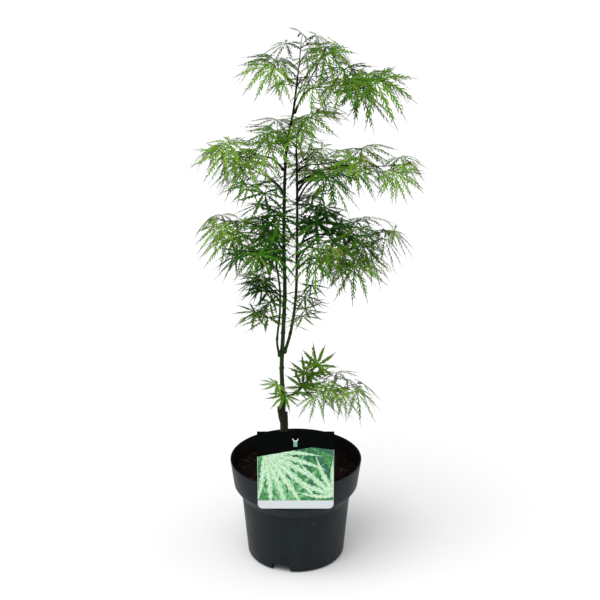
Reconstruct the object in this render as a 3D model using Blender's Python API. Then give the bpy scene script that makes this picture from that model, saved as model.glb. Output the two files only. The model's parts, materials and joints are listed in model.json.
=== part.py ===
"""Potted japanese maple: a young grafted cutleaf tree in a round nursery pot, with its label card.

Metres, +Z up, +X to the right and -Y to the front. The origin is the centre of the pot's flat
underside. The tree is worked out in three passes: the woody lines (trunk, stems and boughs), the stem
of each mass of foliage, and then its leaves, which a seeded rule sets on that stem and keeps clear of
everything else.
"""

import math
import random
from collections import namedtuple

import bmesh
import bpy
from mathutils import Matrix, Vector
from mathutils.bvhtree import BVHTree

MM = 0.001
GAP = 0.3 * MM  # clearance between two pieces that meet
UP = Vector((0.0, 0.0, 1.0))

# Pot: a moulded cup with a foot, a stepped collar and drainage notches at the foot's edge
POT_HEIGHT = 150 * MM
POT_RIM_RADIUS = 95 * MM
COLLAR_RADIUS = 89.8 * MM
COLLAR_FOOT = 111 * MM
SHOULDER_RADIUS = 78.7 * MM
SHOULDER_HEIGHT = 94 * MM
FOOT_RADIUS = 70.8 * MM
FOOT_ROUNDING = 5 * MM
POT_WALL = 1.4 * MM
POT_FLOOR = 2.2 * MM
POT_SEGMENTS = 40
SOIL_SEGMENTS = 32
NOTCHES = 3
NOTCH_WIDTH = 27 * MM
NOTCH_HEIGHT = 9 * MM
NOTCH_DEPTH = 12 * MM
FIRST_NOTCH = math.radians(252)

# Soil: fills the pot to just under the rim, level round the trunk
SOIL_TOP = 130 * MM
SOIL_SINK = 3 * MM
SOIL_LEVEL_RADIUS = 36 * MM

# Label card, hung on the front of the rim by a tongue
CARD_WIDTH = 105 * MM
CARD_HEIGHT = 118 * MM
CARD_FOOT = 119 * MM
CARD_THICKNESS = 0.8 * MM
CARD_CORNER = 7 * MM
TONGUE_WIDTH = 26 * MM
TONGUE_LENGTH = 15 * MM

# Wood
BARK_SIDES = 8
BOUGH_SIDES = 6
TWIG_SIDES = 3
FLARE_RADIUS = 3.6 * MM
FLARE_HEIGHT = 9 * MM
FLARE_RIBS = 5
RIB_SWELL = 0.45  # how far the ribs of the root flare stand out from its mean
TRUNK_STEP = 22 * MM  # length of a piece of the trunk's line, and of a stem's
STEM_STEP = 18 * MM
BOUGH_STEP = 14  # and of a bough and of a mass's stem, in millimetres
TWIG_STEP = 9
SIDE_TWIG_RADIUS = 0.85 * MM  # foot of a mass's stem that leaves a limb's side

# Leaves
LOBES = 7
LOBES_ON_SMALL = 5
SMALL_LEAF = 58 * MM
LOBE_FAN = math.radians(128)
LOBE_BEND = 0.46
LOBE_HALF_WIDTH = 0.088
LOBE_THICKNESS = 0.9 * MM
HUB_THICKNESS = 1.5 * MM
SINUS = 0.15
SINUS_DROOP = 0.25
LOBE_BACK_SHARE = 0.42  # how much shorter the lobes beside the stalk are than the middle one
MIDDLE_DROOP = 0.25  # share of the droop that a lobe has by its middle, and by its tip
TIP_DROOP = 0.8
PETIOLE_RADIUS = 0.55 * MM
TWIG_END_RADIUS = 1.2 * PETIOLE_RADIUS
PETIOLE_LEVEL = 0.3  # how much of its climb a stalk keeps in its outer half
PETIOLE_CLIMB = 0.12
PETIOLE_SINK = 0.2 * MM
NODE_RUN = 0.9  # share of a mass's stem that carries leaves
LEAF_SPREAD = (40, 85)  # degrees between a leaf stalk and its twig
LEAF_TILT = (-16, 16)
CROSSED_TILT = 45  # each second pair of leaves is turned out of the first one's plane
PETIOLE_SPAN = (0.75, 1.25)  # smallest and largest stalk, leaf and droop against the mass's own
LEAF_SPAN = (0.88, 1.08)
HANG_SPAN = (0.6, 1.05)
PITCH_UP = 0.9
PITCH_HANG = 1.5
PITCH_SPREAD = 0.3
TIP_LEAF = 0.8  # size of the single leaf on a stem's tip
TRIES = 60
FREE_TRIES = 48  # after these a leaf may cross another of its own mass

Line = namedtuple("Line", "points radii")
Stem = namedtuple("Stem", "name carrier points thick thin")
Bough = namedtuple("Bough", "name carrier height azimuth reach rise arch thick thin")
Mass = namedtuple("Mass", "name carrier height azimuth lift length leaves petiole leaf hang seed")

# The trunk's line from the soil to its top fork, and its radius there, in millimetres
TRUNK = (
    (-17, 0, 130.3, 4.5),
    (-18, 0, 170, 4.2),
    (-18.5, 0, 208, 4.2),
    (-18, 1, 238, 2.8),
    (-20, 1, 290, 2.6),
    (-17, -1, 355, 2.3),
    (-15, 0, 407, 2.1),
    (-16, 2, 479, 1.8),
    (-14, 0, 576, 1.4),
    (-10, 0, 619, 1.2),
    (-3, 0, 655, 1.0),
    (3, 0, 702, 0.8),
)
STUB_FOOT = Vector((-19.5, -0.5, 206)) * MM
STUB_TOP = Vector((-24.5, -1.5, 231)) * MM
STUB_RADIUS = 2.9 * MM
# The rootstock's swollen side opposite the stub, in millimetres
LUMP = ((-14.6, -0.5, 222), (-13.9, -0.5, 190), (-14.4, 0, 150))
LUMP_RADIUS = 3.0 * MM

# Stems that fork off the trunk: the line of each in millimetres, then its radius at foot and tip
LEFT_STEM_POINTS = ((-20, 0, 298), (-26, -5, 330), (-22, -6, 375), (-22, -6, 414), (-28, -6, 455))
RIGHT_STEM_POINTS = (
    (-20, 1, 303),
    (-9, 6, 334),
    (0, 7, 392),
    (2, 7, 479),
    (2, 7, 560),
    (1, 5, 604),
)
TOP_SHOOT_POINTS = ((-6, 0, 643), (1, -1, 659), (9, -1, 677))
STEMS = (
    Stem("left_stem", "trunk", LEFT_STEM_POINTS, 1.5, 0.9),
    Stem("right_stem", "trunk", RIGHT_STEM_POINTS, 2.0, 1.0),
    Stem("top_shoot", "trunk", TOP_SHOOT_POINTS, 1.0, 0.8),
)

# Boughs: height on the carrier, azimuth (0 right, 90 back), reach, rise and arch in millimetres
BOUGHS = (
    Bough("top_right_bough", "top_shoot", 668, 358, 22, 20, 6, 0.8, 0.7),
    Bough("second_left_bough", "trunk", 574, 186, 26, 22, 5, 1.1, 0.8),
    Bough("second_upper_bough", "right_stem", 572, 345, 20, 12, 3, 1.0, 0.8),
    Bough("second_right_bough", "right_stem", 556, 356, 78, 26, 8, 1.3, 0.8),
    Bough("second_front_left_bough", "trunk", 544, 242, 42, 26, 6, 1.0, 0.8),
    Bough("second_front_right_bough", "right_stem", 545, 312, 40, 28, 6, 1.0, 0.8),
    Bough("second_back_left_bough", "trunk", 540, 128, 42, 20, 6, 1.0, 0.8),
    Bough("second_back_right_bough", "right_stem", 530, 58, 42, 22, 6, 1.0, 0.8),
    Bough("third_left_bough", "trunk", 462, 186, 36, 38, 8, 1.1, 0.8),
    Bough("third_right_bough", "right_stem", 468, 2, 60, 16, 8, 1.2, 0.8),
    Bough("third_middle_bough", "right_stem", 434, 338, 32, 20, 6, 1.0, 0.8),
    Bough("third_front_left_bough", "trunk", 440, 236, 38, 34, 6, 1.0, 0.8),
    Bough("third_front_right_bough", "right_stem", 450, 304, 38, 26, 6, 1.0, 0.8),
    Bough("third_back_left_bough", "trunk", 444, 124, 44, 24, 6, 1.0, 0.8),
    Bough("third_back_right_bough", "right_stem", 440, 56, 44, 24, 6, 1.0, 0.8),
    Bough("low_bough", "trunk", 244, 352, 32, 9, 2, 1.3, 0.9),
)

# Masses: carrier and height on it (none where the mass grows on from the carrier's tip), azimuth and
# lift of its stem, length of stem, number of leaves, length of petiole and of leaf in millimetres,
# how far the leaves hang (0 upright, 1 hanging), and the rule's seed
MASSES = (
    Mass("crest_right_leaves", "top_shoot", None, 2, 60, 56, 3, 22, 56, 0.85, 16),
    Mass("crest_leaves", "trunk", None, 60, 80, 36, 3, 24, 50, 0.75, 54),
    Mass("crest_left_leaves", "trunk", 690, 176, 40, 30, 3, 26, 70, 0.75, 68),
    Mass("top_right_leaves", "top_right_bough", None, 2, 8, 62, 5, 28, 70, 0.8, 35),
    Mass("top_front_leaves", "trunk", 686, 300, 52, 22, 2, 24, 48, 0.8, 90),
    Mass("top_back_leaves", "trunk", 666, 70, 34, 30, 3, 28, 58, 0.8, 26),
    Mass("under_top_leaves", "right_stem", None, 350, 50, 44, 3, 24, 60, 0.6, 75),
    Mass("second_left_high_leaves", "trunk", 606, 170, 45, 16, 2, 26, 62, 0.7, 40),
    Mass("second_left_leaves", "second_left_bough", None, 184, 6, 50, 5, 28, 62, 0.8, 23),
    Mass("second_left_low_leaves", "trunk", 536, 178, 35, 28, 3, 26, 60, 0.7, 77),
    Mass("second_left_under_leaves", "trunk", 512, 196, 40, 14, 2, 24, 52, 0.8, 77),
    Mass("second_upper_leaves", "second_upper_bough", None, 350, 12, 56, 5, 28, 66, 0.7, 24),
    Mass("second_right_leaves", "second_right_bough", None, 354, 4, 46, 5, 26, 56, 0.8, 57),
    Mass("second_right_low_leaves", "right_stem", 520, 8, 25, 16, 2, 24, 52, 0.7, 69),
    Mass("second_right_high_leaves", "right_stem", 582, 24, 30, 12, 2, 22, 46, 0.7, 22),
    Mass("second_front_left_leaves", "second_front_left_bough", None, 246, 4, 30, 3, 28, 56, 0.8, 1),
    Mass("second_front_right_leaves", "second_front_right_bough", None, 312, 8, 30, 3, 28, 58, 0.8, 76),
    Mass("second_back_left_leaves", "second_back_left_bough", None, 126, 8, 30, 3, 28, 60, 0.8, 36),
    Mass("second_back_right_leaves", "second_back_right_bough", None, 58, 8, 30, 3, 28, 60, 0.8, 73),
    Mass("third_left_leaves", "third_left_bough", None, 186, 0, 44, 5, 28, 58, 0.8, 70),
    Mass("third_left_tip_leaves", "left_stem", None, 178, -18, 74, 5, 26, 60, 0.75, 79),
    Mass("third_left_near_leaves", "trunk", 476, 168, 40, 14, 2, 24, 54, 0.8, 15),
    Mass("third_left_low_leaves", "left_stem", 402, 190, 38, 16, 3, 24, 50, 0.8, 68),
    Mass("third_right_near_leaves", "right_stem", 496, 12, 38, 20, 3, 26, 58, 0.7, 62),
    Mass("third_right_leaves", "third_right_bough", None, 2, 6, 40, 5, 28, 60, 0.8, 4),
    Mass("third_middle_leaves", "third_middle_bough", None, 342, 2, 50, 5, 26, 56, 0.8, 69),
    Mass("third_front_left_leaves", "third_front_left_bough", None, 240, 4, 30, 3, 28, 60, 0.8, 46),
    Mass("third_front_right_leaves", "third_front_right_bough", None, 305, 4, 30, 3, 28, 60, 0.8, 2),
    Mass("third_back_left_leaves", "third_back_left_bough", None, 124, 4, 30, 3, 28, 62, 0.8, 4),
    Mass("third_back_right_leaves", "third_back_right_bough", None, 58, 4, 30, 3, 28, 62, 0.8, 77),
    Mass("third_right_low_leaves", "right_stem", 390, 20, 30, 8, 2, 18, 36, 0.8, 2),
    Mass("low_left_leaves", "left_stem", 358, 184, 45, 12, 1, 22, 52, 0.6, 81),
    Mass("low_right_leaves", "right_stem", 358, 355, 38, 14, 2, 22, 40, 0.5, 68),
    Mass("low_bough_leaves", "low_bough", None, 358, 16, 56, 5, 24, 56, 0.75, 90),
    Mass("low_high_leaves", "low_bough", 251, 5, 52, 34, 2, 20, 46, 0.05, 17),
    Mass("low_front_leaves", "trunk", 250, 300, 24, 14, 2, 22, 46, 0.5, 31),
)


# ---------------------------------------------------------------- scene and materials


def clear_scene():
    for thing in list(bpy.data.objects):
        bpy.data.objects.remove(thing, do_unlink=True)


def linear(channel):
    return channel / 12.92 if channel <= 0.04045 else ((channel + 0.055) / 1.055) ** 2.4


def material(name, hex_colour, roughness):
    found = bpy.data.materials.get(name)
    if found:
        return found
    made = bpy.data.materials.new(name)
    made.use_nodes = True
    shader = made.node_tree.nodes["Principled BSDF"]
    channels = [int(hex_colour[i : i + 2], 16) / 255 for i in (0, 2, 4)]
    shader.inputs["Base Color"].default_value = (*map(linear, channels), 1.0)
    shader.inputs["Roughness"].default_value = roughness
    shader.inputs["Metallic"].default_value = 0.0
    made.diffuse_color = shader.inputs["Base Color"].default_value
    return made


def pot_plastic():
    return material("pot_plastic", "2B3034", 0.55)


def compost():
    return material("compost", "3A2418", 0.95)


def card_print():
    return material("card_print", "8FAE6A", 0.4)


def bark():
    return material("bark", "3D4427", 0.8)


def foliage():
    return material("foliage", "4F8A22", 0.6)


def add_object(name, bm, finish, smooth_angle=None):
    """Turns a bmesh into a named object with its finish."""
    mesh = bpy.data.meshes.new(name)
    bm.to_mesh(mesh)
    bm.free()
    mesh.materials.append(finish)
    if smooth_angle is not None:
        mesh.shade_smooth()
        mesh.set_sharp_from_angle(angle=smooth_angle)
    made = bpy.data.objects.new(name, mesh)
    bpy.context.scene.collection.objects.link(made)
    return made


def apply_boolean(target, operation, others):
    """Applies one Boolean of all the others to the target, and removes them."""
    helpers = bpy.data.collections.new("helpers")
    bpy.context.scene.collection.children.link(helpers)
    for other in others:
        bpy.context.scene.collection.objects.unlink(other)
        helpers.objects.link(other)
        other.display_type = "WIRE"
    modifier = target.modifiers.new("join", "BOOLEAN")
    modifier.operation = operation
    modifier.operand_type = "COLLECTION"
    modifier.collection = helpers
    modifier.solver = "EXACT"
    bpy.context.view_layer.update()
    graph = bpy.context.evaluated_depsgraph_get()
    joined = bpy.data.meshes.new_from_object(target.evaluated_get(graph))
    target.modifiers.clear()
    old = target.data
    target.data = joined
    joined.name = target.name
    bpy.data.meshes.remove(old)
    for other in others:
        bpy.data.objects.remove(other, do_unlink=True)
    bpy.data.collections.remove(helpers)


def keep_largest_body(target):
    """Fills sealed hollows and drops loose scraps: only the body with the most volume stays."""
    bm = bmesh.new()
    bm.from_mesh(target.data)
    todo = set(bm.faces)
    bodies = []
    while todo:
        body = {todo.pop()}
        edge_faces = list(body)
        while edge_faces:
            face = edge_faces.pop()
            near = {other for edge in face.edges for other in edge.link_faces} & todo
            todo -= near
            body |= near
            edge_faces.extend(near)
        bodies.append(body)
    bodies.sort(key=volume_of)
    for body in bodies[:-1]:
        bmesh.ops.delete(bm, geom=list(body), context="FACES")
    bmesh.ops.triangulate(bm, faces=bm.faces)
    bm.to_mesh(target.data)
    bm.free()


def volume_of(faces):
    total = 0.0
    for face in faces:
        corners = [vert.co for vert in face.verts]
        for second, third in zip(corners[1:], corners[2:]):
            total += corners[0].dot(second.cross(third)) / 6
    return total


# ---------------------------------------------------------------- pot, soil and label


def turned(profile, segments):
    """A solid of revolution about Z, from (radius, height) points that start and end on the axis."""
    bm = bmesh.new()
    verts = [bm.verts.new((radius, 0.0, height)) for radius, height in profile]
    edges = [bm.edges.new(pair) for pair in zip(verts, verts[1:])]
    bmesh.ops.spin(
        bm,
        geom=verts + edges,
        cent=(0, 0, 0),
        axis=(0, 0, 1),
        dvec=(0, 0, 0),
        angle=2 * math.pi,
        steps=segments,
        use_merge=True,
    )
    bmesh.ops.remove_doubles(bm, verts=bm.verts, dist=0.01 * MM)
    bmesh.ops.recalc_face_normals(bm, faces=bm.faces)
    return bm


def pot_wall_radius(height):
    """The outer radius of the pot at a height, along body, shoulder and collar."""
    stations = (
        (0.0, FOOT_RADIUS),
        (SHOULDER_HEIGHT, SHOULDER_RADIUS),
        (COLLAR_FOOT, COLLAR_RADIUS),
        (POT_HEIGHT, POT_RIM_RADIUS),
    )
    for (low, inner), (high, outer) in zip(stations, stations[1:]):
        if height <= high:
            return inner + (outer - inner) * (height - low) / (high - low)
    return POT_RIM_RADIUS


def make_pot():
    rounding = [
        (
            FOOT_RADIUS - FOOT_ROUNDING * (1 - math.sin(turn)),
            FOOT_ROUNDING * (1 - math.cos(turn)),
        )
        for turn in (0, math.pi / 6, math.pi / 3, math.pi / 2)
    ]
    outside = [(0, 0), *rounding, (SHOULDER_RADIUS, SHOULDER_HEIGHT), (COLLAR_RADIUS, COLLAR_FOOT)]
    inside = [(pot_wall_radius(z) - POT_WALL, z) for z in (POT_HEIGHT, COLLAR_FOOT, SHOULDER_HEIGHT)]
    inside += [(FOOT_RADIUS - FOOT_ROUNDING, POT_FLOOR), (0, POT_FLOOR)]
    bm = turned([*outside, (POT_RIM_RADIUS, POT_HEIGHT), *inside], POT_SEGMENTS)
    pot = add_object("pot", bm, pot_plastic(), math.radians(32))
    cutters = []
    for number in range(NOTCHES):
        turn = FIRST_NOTCH + number * 2 * math.pi / NOTCHES
        bm = bmesh.new()
        bmesh.ops.create_cube(bm, size=1)
        bmesh.ops.scale(bm, vec=(NOTCH_DEPTH, NOTCH_WIDTH, 2 * NOTCH_HEIGHT), verts=bm.verts)
        bmesh.ops.translate(bm, vec=(FOOT_RADIUS, 0, 0), verts=bm.verts)
        bmesh.ops.rotate(bm, matrix=Matrix.Rotation(turn, 3, "Z"), verts=bm.verts)
        cutters.append(add_object(f"notch_{number}", bm, pot_plastic()))
    apply_boolean(pot, "DIFFERENCE", cutters)
    return pot


def make_soil():
    top_radius = pot_wall_radius(SOIL_TOP) - POT_WALL - 2 * GAP
    shoulder = pot_wall_radius(SHOULDER_HEIGHT) - POT_WALL - 2 * GAP
    floor_radius = FOOT_RADIUS - FOOT_ROUNDING - 3 * GAP
    profile = [
        (0, POT_FLOOR + GAP),
        (floor_radius, POT_FLOOR + GAP),
        (shoulder, SHOULDER_HEIGHT - GAP),
        (pot_wall_radius(COLLAR_FOOT) - POT_WALL - 2 * GAP, COLLAR_FOOT + GAP),
        (top_radius - GAP, SOIL_TOP - SOIL_SINK),
        ((top_radius + SOIL_LEVEL_RADIUS) / 2, SOIL_TOP - 0.3 * SOIL_SINK),
        (SOIL_LEVEL_RADIUS, SOIL_TOP),
        (0, SOIL_TOP),
    ]
    return add_object("soil", turned(profile, SOIL_SEGMENTS), compost(), math.radians(40))


def box(name, low, high, finish):
    bm = bmesh.new()
    bmesh.ops.create_cube(bm, size=1)
    size = [b - a for a, b in zip(low, high)]
    middle = [(a + b) / 2 for a, b in zip(low, high)]
    bmesh.ops.scale(bm, vec=size, verts=bm.verts)
    bmesh.ops.translate(bm, vec=middle, verts=bm.verts)
    return add_object(name, bm, finish)


def make_label():
    """A card with two rounded lower corners, and a tongue that hooks over the rim."""
    back = -POT_RIM_RADIUS - GAP
    front = back - CARD_THICKNESS
    half = CARD_WIDTH / 2
    bm = bmesh.new()
    outline = [(-half, CARD_FOOT + CARD_HEIGHT), (half, CARD_FOOT + CARD_HEIGHT)]
    for centre_x, start in ((half - CARD_CORNER, 0), (CARD_CORNER - half, -math.pi / 2)):
        for step in range(5):
            turn = start - step * math.pi / 8
            x = centre_x + CARD_CORNER * math.cos(turn)
            outline.append((x, CARD_FOOT + CARD_CORNER + CARD_CORNER * math.sin(turn)))
    face = bm.faces.new([bm.verts.new((x, front, z)) for x, z in outline])
    grown = bmesh.ops.extrude_face_region(bm, geom=[face])
    moved = [item for item in grown["geom"] if isinstance(item, bmesh.types.BMVert)]
    bmesh.ops.translate(bm, vec=(0, CARD_THICKNESS, 0), verts=moved)
    bmesh.ops.recalc_face_normals(bm, faces=bm.faces)
    label = add_object("label", bm, card_print())
    half = TONGUE_WIDTH / 2
    over = POT_HEIGHT + GAP
    tongue_foot = over - TONGUE_LENGTH
    inner_radius = pot_wall_radius(tongue_foot) - POT_WALL
    leg_front = GAP - math.sqrt(inner_radius**2 - half**2)
    leg_back = leg_front + CARD_THICKNESS
    sink = 0.3 * CARD_THICKNESS
    top = over + CARD_THICKNESS
    bridge = box("bridge", (-half, back - sink, over), (half, leg_back, top), card_print())
    leg = box("leg", (-half, leg_front, tongue_foot), (half, leg_back, over + sink), card_print())
    apply_boolean(label, "UNION", [bridge, leg])
    return label


# ---------------------------------------------------------------- lines and tubes


def smooth_line(points, radii, step):
    """A Catmull-Rom line through the points, with the radii carried along it."""
    padded = [2 * points[0] - points[1], *points, 2 * points[-1] - points[-2]]
    places = []
    widths = []
    for index in range(len(points) - 1):
        a, b, c, d = padded[index : index + 4]
        pieces = max(1, round((c - b).length / step))
        for piece in range(pieces):
            t = piece / pieces
            place = 2 * b + (c - a) * t + (2 * a - 5 * b + 4 * c - d) * t**2
            places.append(0.5 * (place + (3 * b - a - 3 * c + d) * t**3))
            widths.append(radii[index] + (radii[index + 1] - radii[index]) * t)
    return Line([*places, points[-1]], [*widths, radii[-1]])


def nearest_on(line, place):
    """Distance from a place to a line's axis, with the line's radius and direction there."""
    best = None
    for index in range(len(line.points) - 1):
        start, end = line.points[index : index + 2]
        along = end - start
        t = min(1.0, max(0.0, (place - start).dot(along) / along.length_squared))
        away = (place - start - along * t).length
        if best is None or away < best[0]:
            radius = line.radii[index] + (line.radii[index + 1] - line.radii[index]) * t
            best = (away, radius, along.normalized())
    return best


def place_at_height(line, height):
    for start, end in zip(line.points, line.points[1:]):
        if start.z <= height <= end.z:
            return start.lerp(end, (height - start.z) / (end.z - start.z))
    return line.points[-1].copy()


def leave_carrier(line, carrier):
    """Cuts off the start of a line inside its carrier, so that its end cap stands just clear."""
    for index in range(len(line.points) - 1):
        start, end = line.points[index : index + 2]
        steps = max(1, math.ceil((end - start).length / (0.2 * MM)))
        for step in range(steps):
            place = start.lerp(end, step / steps)
            away, radius, along = nearest_on(carrier, place)
            lean = abs(along.dot((end - start).normalized()))
            if away >= radius + GAP + line.radii[index] * lean:
                return Line([place, *line.points[index + 1 :]], list(line.radii[index:]))
    return line


def tube(line, sides, ribs=0):
    """A closed tube along a line, as vertices and faces. Ribs swell its foot into a root flare."""
    points, radii = line
    verts = []
    along = (points[1] - points[0]).normalized()
    if ribs:
        along = UP.copy()
    side = along.orthogonal().normalized()
    for index, place in enumerate(points):
        before = points[max(index - 1, 0)]
        after = points[min(index + 1, len(points) - 1)]
        heading = UP.copy() if ribs and index == 0 else (after - before).normalized()
        side = (side - heading * side.dot(heading)).normalized()
        across = heading.cross(side)
        flare = 0.0
        if ribs:
            flare = FLARE_RADIUS * math.exp(-(place - points[0]).length / FLARE_HEIGHT)
        for corner in range(sides):
            turn = 2 * math.pi * corner / sides
            radius = radii[index] + flare * (1 + RIB_SWELL * math.cos(ribs * turn))
            verts.append(place + radius * (math.cos(turn) * side + math.sin(turn) * across))
    faces = [tuple(range(sides))[::-1]]
    for ring in range(len(points) - 1):
        for corner in range(sides):
            after = (corner + 1) % sides
            low = ring * sides
            high = low + sides
            faces.append((low + corner, low + after, high + after, high + corner))
    last = (len(points) - 1) * sides
    faces.append(tuple(range(last, last + sides)))
    return verts, faces


def shape_object(name, shape, finish, smooth_angle=None):
    bm = bmesh.new()
    verts = [bm.verts.new(vert) for vert in shape[0]]
    for face in shape[1]:
        bm.faces.new([verts[index] for index in face])
    bmesh.ops.recalc_face_normals(bm, faces=bm.faces)
    return add_object(name, bm, finish, smooth_angle)


# ---------------------------------------------------------------- trunk, stems and boughs


def heading_of(azimuth, lift):
    turn, rise = math.radians(azimuth), math.radians(lift)
    level = Vector((math.cos(turn), math.sin(turn), 0.0))
    return level * math.cos(rise) + UP * math.sin(rise)


def trunk_line():
    points = [Vector((x, y, z)) * MM for x, y, z, _ in TRUNK]
    return smooth_line(points, [radius * MM for *_, radius in TRUNK], TRUNK_STEP)


def stem_line(stem, lines):
    points = [Vector(point) * MM for point in stem.points]
    shares = [index / (len(points) - 1) for index in range(len(points))]
    radii = [(stem.thick + (stem.thin - stem.thick) * share) * MM for share in shares]
    return leave_carrier(smooth_line(points, radii, STEM_STEP), lines[stem.carrier])


def bough_line(bough, lines):
    """An arched limb that leaves its carrier at a height and reaches out along an azimuth."""
    start = place_at_height(lines[bough.carrier], bough.height * MM)
    reach = heading_of(bough.azimuth, 0) * bough.reach * MM + UP * bough.rise * MM
    pieces = max(4, round(bough.reach / BOUGH_STEP))
    points = []
    radii = []
    for piece in range(pieces + 1):
        t = piece / pieces
        points.append(start + reach * t + UP * 4 * bough.arch * MM * t * (1 - t))
        radii.append((bough.thick + (bough.thin - bough.thick) * t) * MM)
    return leave_carrier(Line(points, radii), lines[bough.carrier])


def make_trunk(line):
    shape = tube(line, BARK_SIDES, FLARE_RIBS)
    trunk = shape_object("trunk", shape, bark(), math.radians(50))
    stub_line = Line([STUB_FOOT, STUB_TOP], [STUB_RADIUS, 0.8 * STUB_RADIUS])
    stub = shape_object("stub", tube(stub_line, BARK_SIDES), bark())
    lump_line = Line([Vector(point) * MM for point in LUMP], [LUMP_RADIUS] * 3)
    lump = shape_object("lump", tube(lump_line, BARK_SIDES), bark())
    apply_boolean(trunk, "UNION", [stub, lump])
    return trunk


# ---------------------------------------------------------------- foliage


def mass_stem(mass, lines):
    """The stem of a mass: it grows on from its carrier's tip, or leaves the carrier's side."""
    carrier = lines[mass.carrier]
    end_heading = heading_of(mass.azimuth, mass.lift)
    if mass.height is None:
        heading = (carrier.points[-1] - carrier.points[-2]).normalized()
        start = carrier.points[-1] + heading * GAP
        thick = carrier.radii[-1]
    else:
        heading = end_heading
        start = place_at_height(carrier, mass.height * MM)
        thick = SIDE_TWIG_RADIUS
    pieces = max(3, round(mass.length / TWIG_STEP))
    points = [start]
    for piece in range(pieces):
        way = heading.lerp(end_heading, (piece + 0.5) / pieces).normalized()
        points.append(points[-1] + way * mass.length * MM / pieces)
    radii = [thick + (TWIG_END_RADIUS - thick) * piece / pieces for piece in range(pieces + 1)]
    line = Line(points, radii)
    return line if mass.height is None else leave_carrier(line, carrier)


def lobe_way(start_way, droop, share):
    """The heading of a drooping lobe at a share of its length."""
    return start_way.lerp(-UP, droop * share).normalized()


def palmate_leaf(hub, outward, length, droop, room=0.0):
    """A closed star of drooping lobes round a hub, as vertices and faces.

    Room thickens it for a clearance test.
    """
    side = outward.cross(UP).normalized()
    normal = side.cross(outward).normalized()
    half_hub = HUB_THICKNESS / 2 + room
    thickness = LOBE_THICKNESS + room
    verts = [hub + normal * half_hub, hub - normal * half_hub]
    faces = []
    lobes = LOBES_ON_SMALL if length < SMALL_LEAF else LOBES
    turns = [LOBE_FAN * (2 * lobe / (lobes - 1) - 1) for lobe in range(lobes)]
    step = turns[1] - turns[0]
    for turn in turns:
        notch = turn - step / 2
        start_way = math.cos(notch) * outward + math.sin(notch) * side
        if turn == turns[0]:
            start_way = -outward
        verts.append(hub + (start_way * SINUS - UP * SINUS_DROOP * SINUS * droop) * length)
    for lobe, turn in enumerate(turns):
        start_way = math.cos(turn) * outward + math.sin(turn) * side
        reach = length * (1 - LOBE_BACK_SHARE * (abs(turn) / LOBE_FAN) ** 2)
        middle_way = lobe_way(start_way, droop, MIDDLE_DROOP)
        middle = hub + middle_way * reach * LOBE_BEND
        tip_way = lobe_way(start_way, droop, TIP_DROOP)
        tip = middle + tip_way * (reach * (1 - LOBE_BEND) + room)
        across = middle_way.cross(normal).normalized()
        lift = across.cross(middle_way).normalized()
        half_width = LOBE_HALF_WIDTH * length + room
        first = len(verts)
        verts += [middle - across * half_width, tip, middle + across * half_width]
        verts.append(middle + lift * thickness)
        left, point, right, ridge = range(first, first + 4)
        before = 2 + lobe
        after = 2 + (lobe + 1) % lobes
        rim = (0, before, left, point, right, after)
        faces += [(ridge, rim[corner], rim[(corner + 1) % 6]) for corner in range(6)]
        faces += [(left, right, point), (before, right, left)]
        faces += [(before, after, right), (1, after, before)]
    return verts, faces


def petiole_line(start, way, length):
    """A leaf stalk that sets off along its way and levels out."""
    level = Vector((way.x, way.y, way.z * PETIOLE_LEVEL)).normalized()
    middle = start + way * length * 0.5
    return Line([start, middle, middle + level * length * 0.5], [PETIOLE_RADIUS] * 3)


def tree_of(shape):
    return BVHTree.FromPolygons(shape[0], shape[1])


def nodes_on(stem, leaves):
    """Where leaves leave a stem: pairs from the tip backwards, and one on the tip if they are odd."""
    pairs = leaves // 2
    length = len(stem.points) - 1
    for pair in range(pairs):
        share = 1 - NODE_RUN * pair / pairs
        index = max(1, round(share * length))
        heading = (stem.points[index] - stem.points[index - 1]).normalized()
        yield stem.points[index], heading, pair, (-1, 1)
    if leaves % 2:
        heading = (stem.points[-1] - stem.points[-2]).normalized()
        yield stem.points[-1], heading, pairs, (0,)


def try_leaf(mass, rng, place, heading, pair, side):
    """One way to set a leaf at a node: its stalk, and its hub, heading, size and droop."""
    spread = math.radians(rng.uniform(*LEAF_SPREAD)) * abs(side)
    tilt = rng.uniform(*LEAF_TILT) + CROSSED_TILT * (pair % 2) * rng.choice((-1, 1))
    tilt = math.radians(tilt)
    lateral = heading_of(mass.azimuth + 90, 0) * side * math.cos(tilt) + UP * math.sin(tilt)
    way = heading * math.cos(spread) + lateral * math.sin(spread) + UP * PETIOLE_CLIMB
    way.normalize()
    length = mass.petiole * MM * rng.uniform(*PETIOLE_SPAN)
    stalk = petiole_line(place - way * PETIOLE_SINK, way, length)
    end = stalk.points[-1] - stalk.points[-2]
    outward = Vector((end.x, end.y, 0)).normalized()
    pitch = PITCH_UP - PITCH_HANG * mass.hang + rng.uniform(-PITCH_SPREAD, PITCH_SPREAD)
    outward = (outward + UP * pitch).normalized()
    size = mass.leaf * MM * rng.uniform(*LEAF_SPAN)
    if side == 0 and mass.leaves > 1:
        size *= TIP_LEAF
    return stalk, (stalk.points[-1], outward, size, mass.hang * rng.uniform(*HANG_SPAN))


def grow_leaves(mass, stem, taken):
    """Leaf stalks and leaves by the seeded rule, each tried till it is clear of what is taken."""
    rng = random.Random(mass.seed)
    grown = []
    for place, heading, pair, sides in nodes_on(stem, mass.leaves):
        for side in sides:
            for attempt in range(TRIES):
                stalk, leaf = try_leaf(mass, rng, place, heading, pair, side)
                trees = [tree_of(palmate_leaf(*leaf, room=GAP)), stalk_tree(stalk)]
                hits = {owner for owner, tree in taken for mine in trees if mine.overlap(tree)}
                if not hits or (attempt >= FREE_TRIES and hits == {mass.name}):
                    grown.append((stalk, leaf))
                    taken.append((mass.name, trees[0]))
                    break
    return grown


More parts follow.
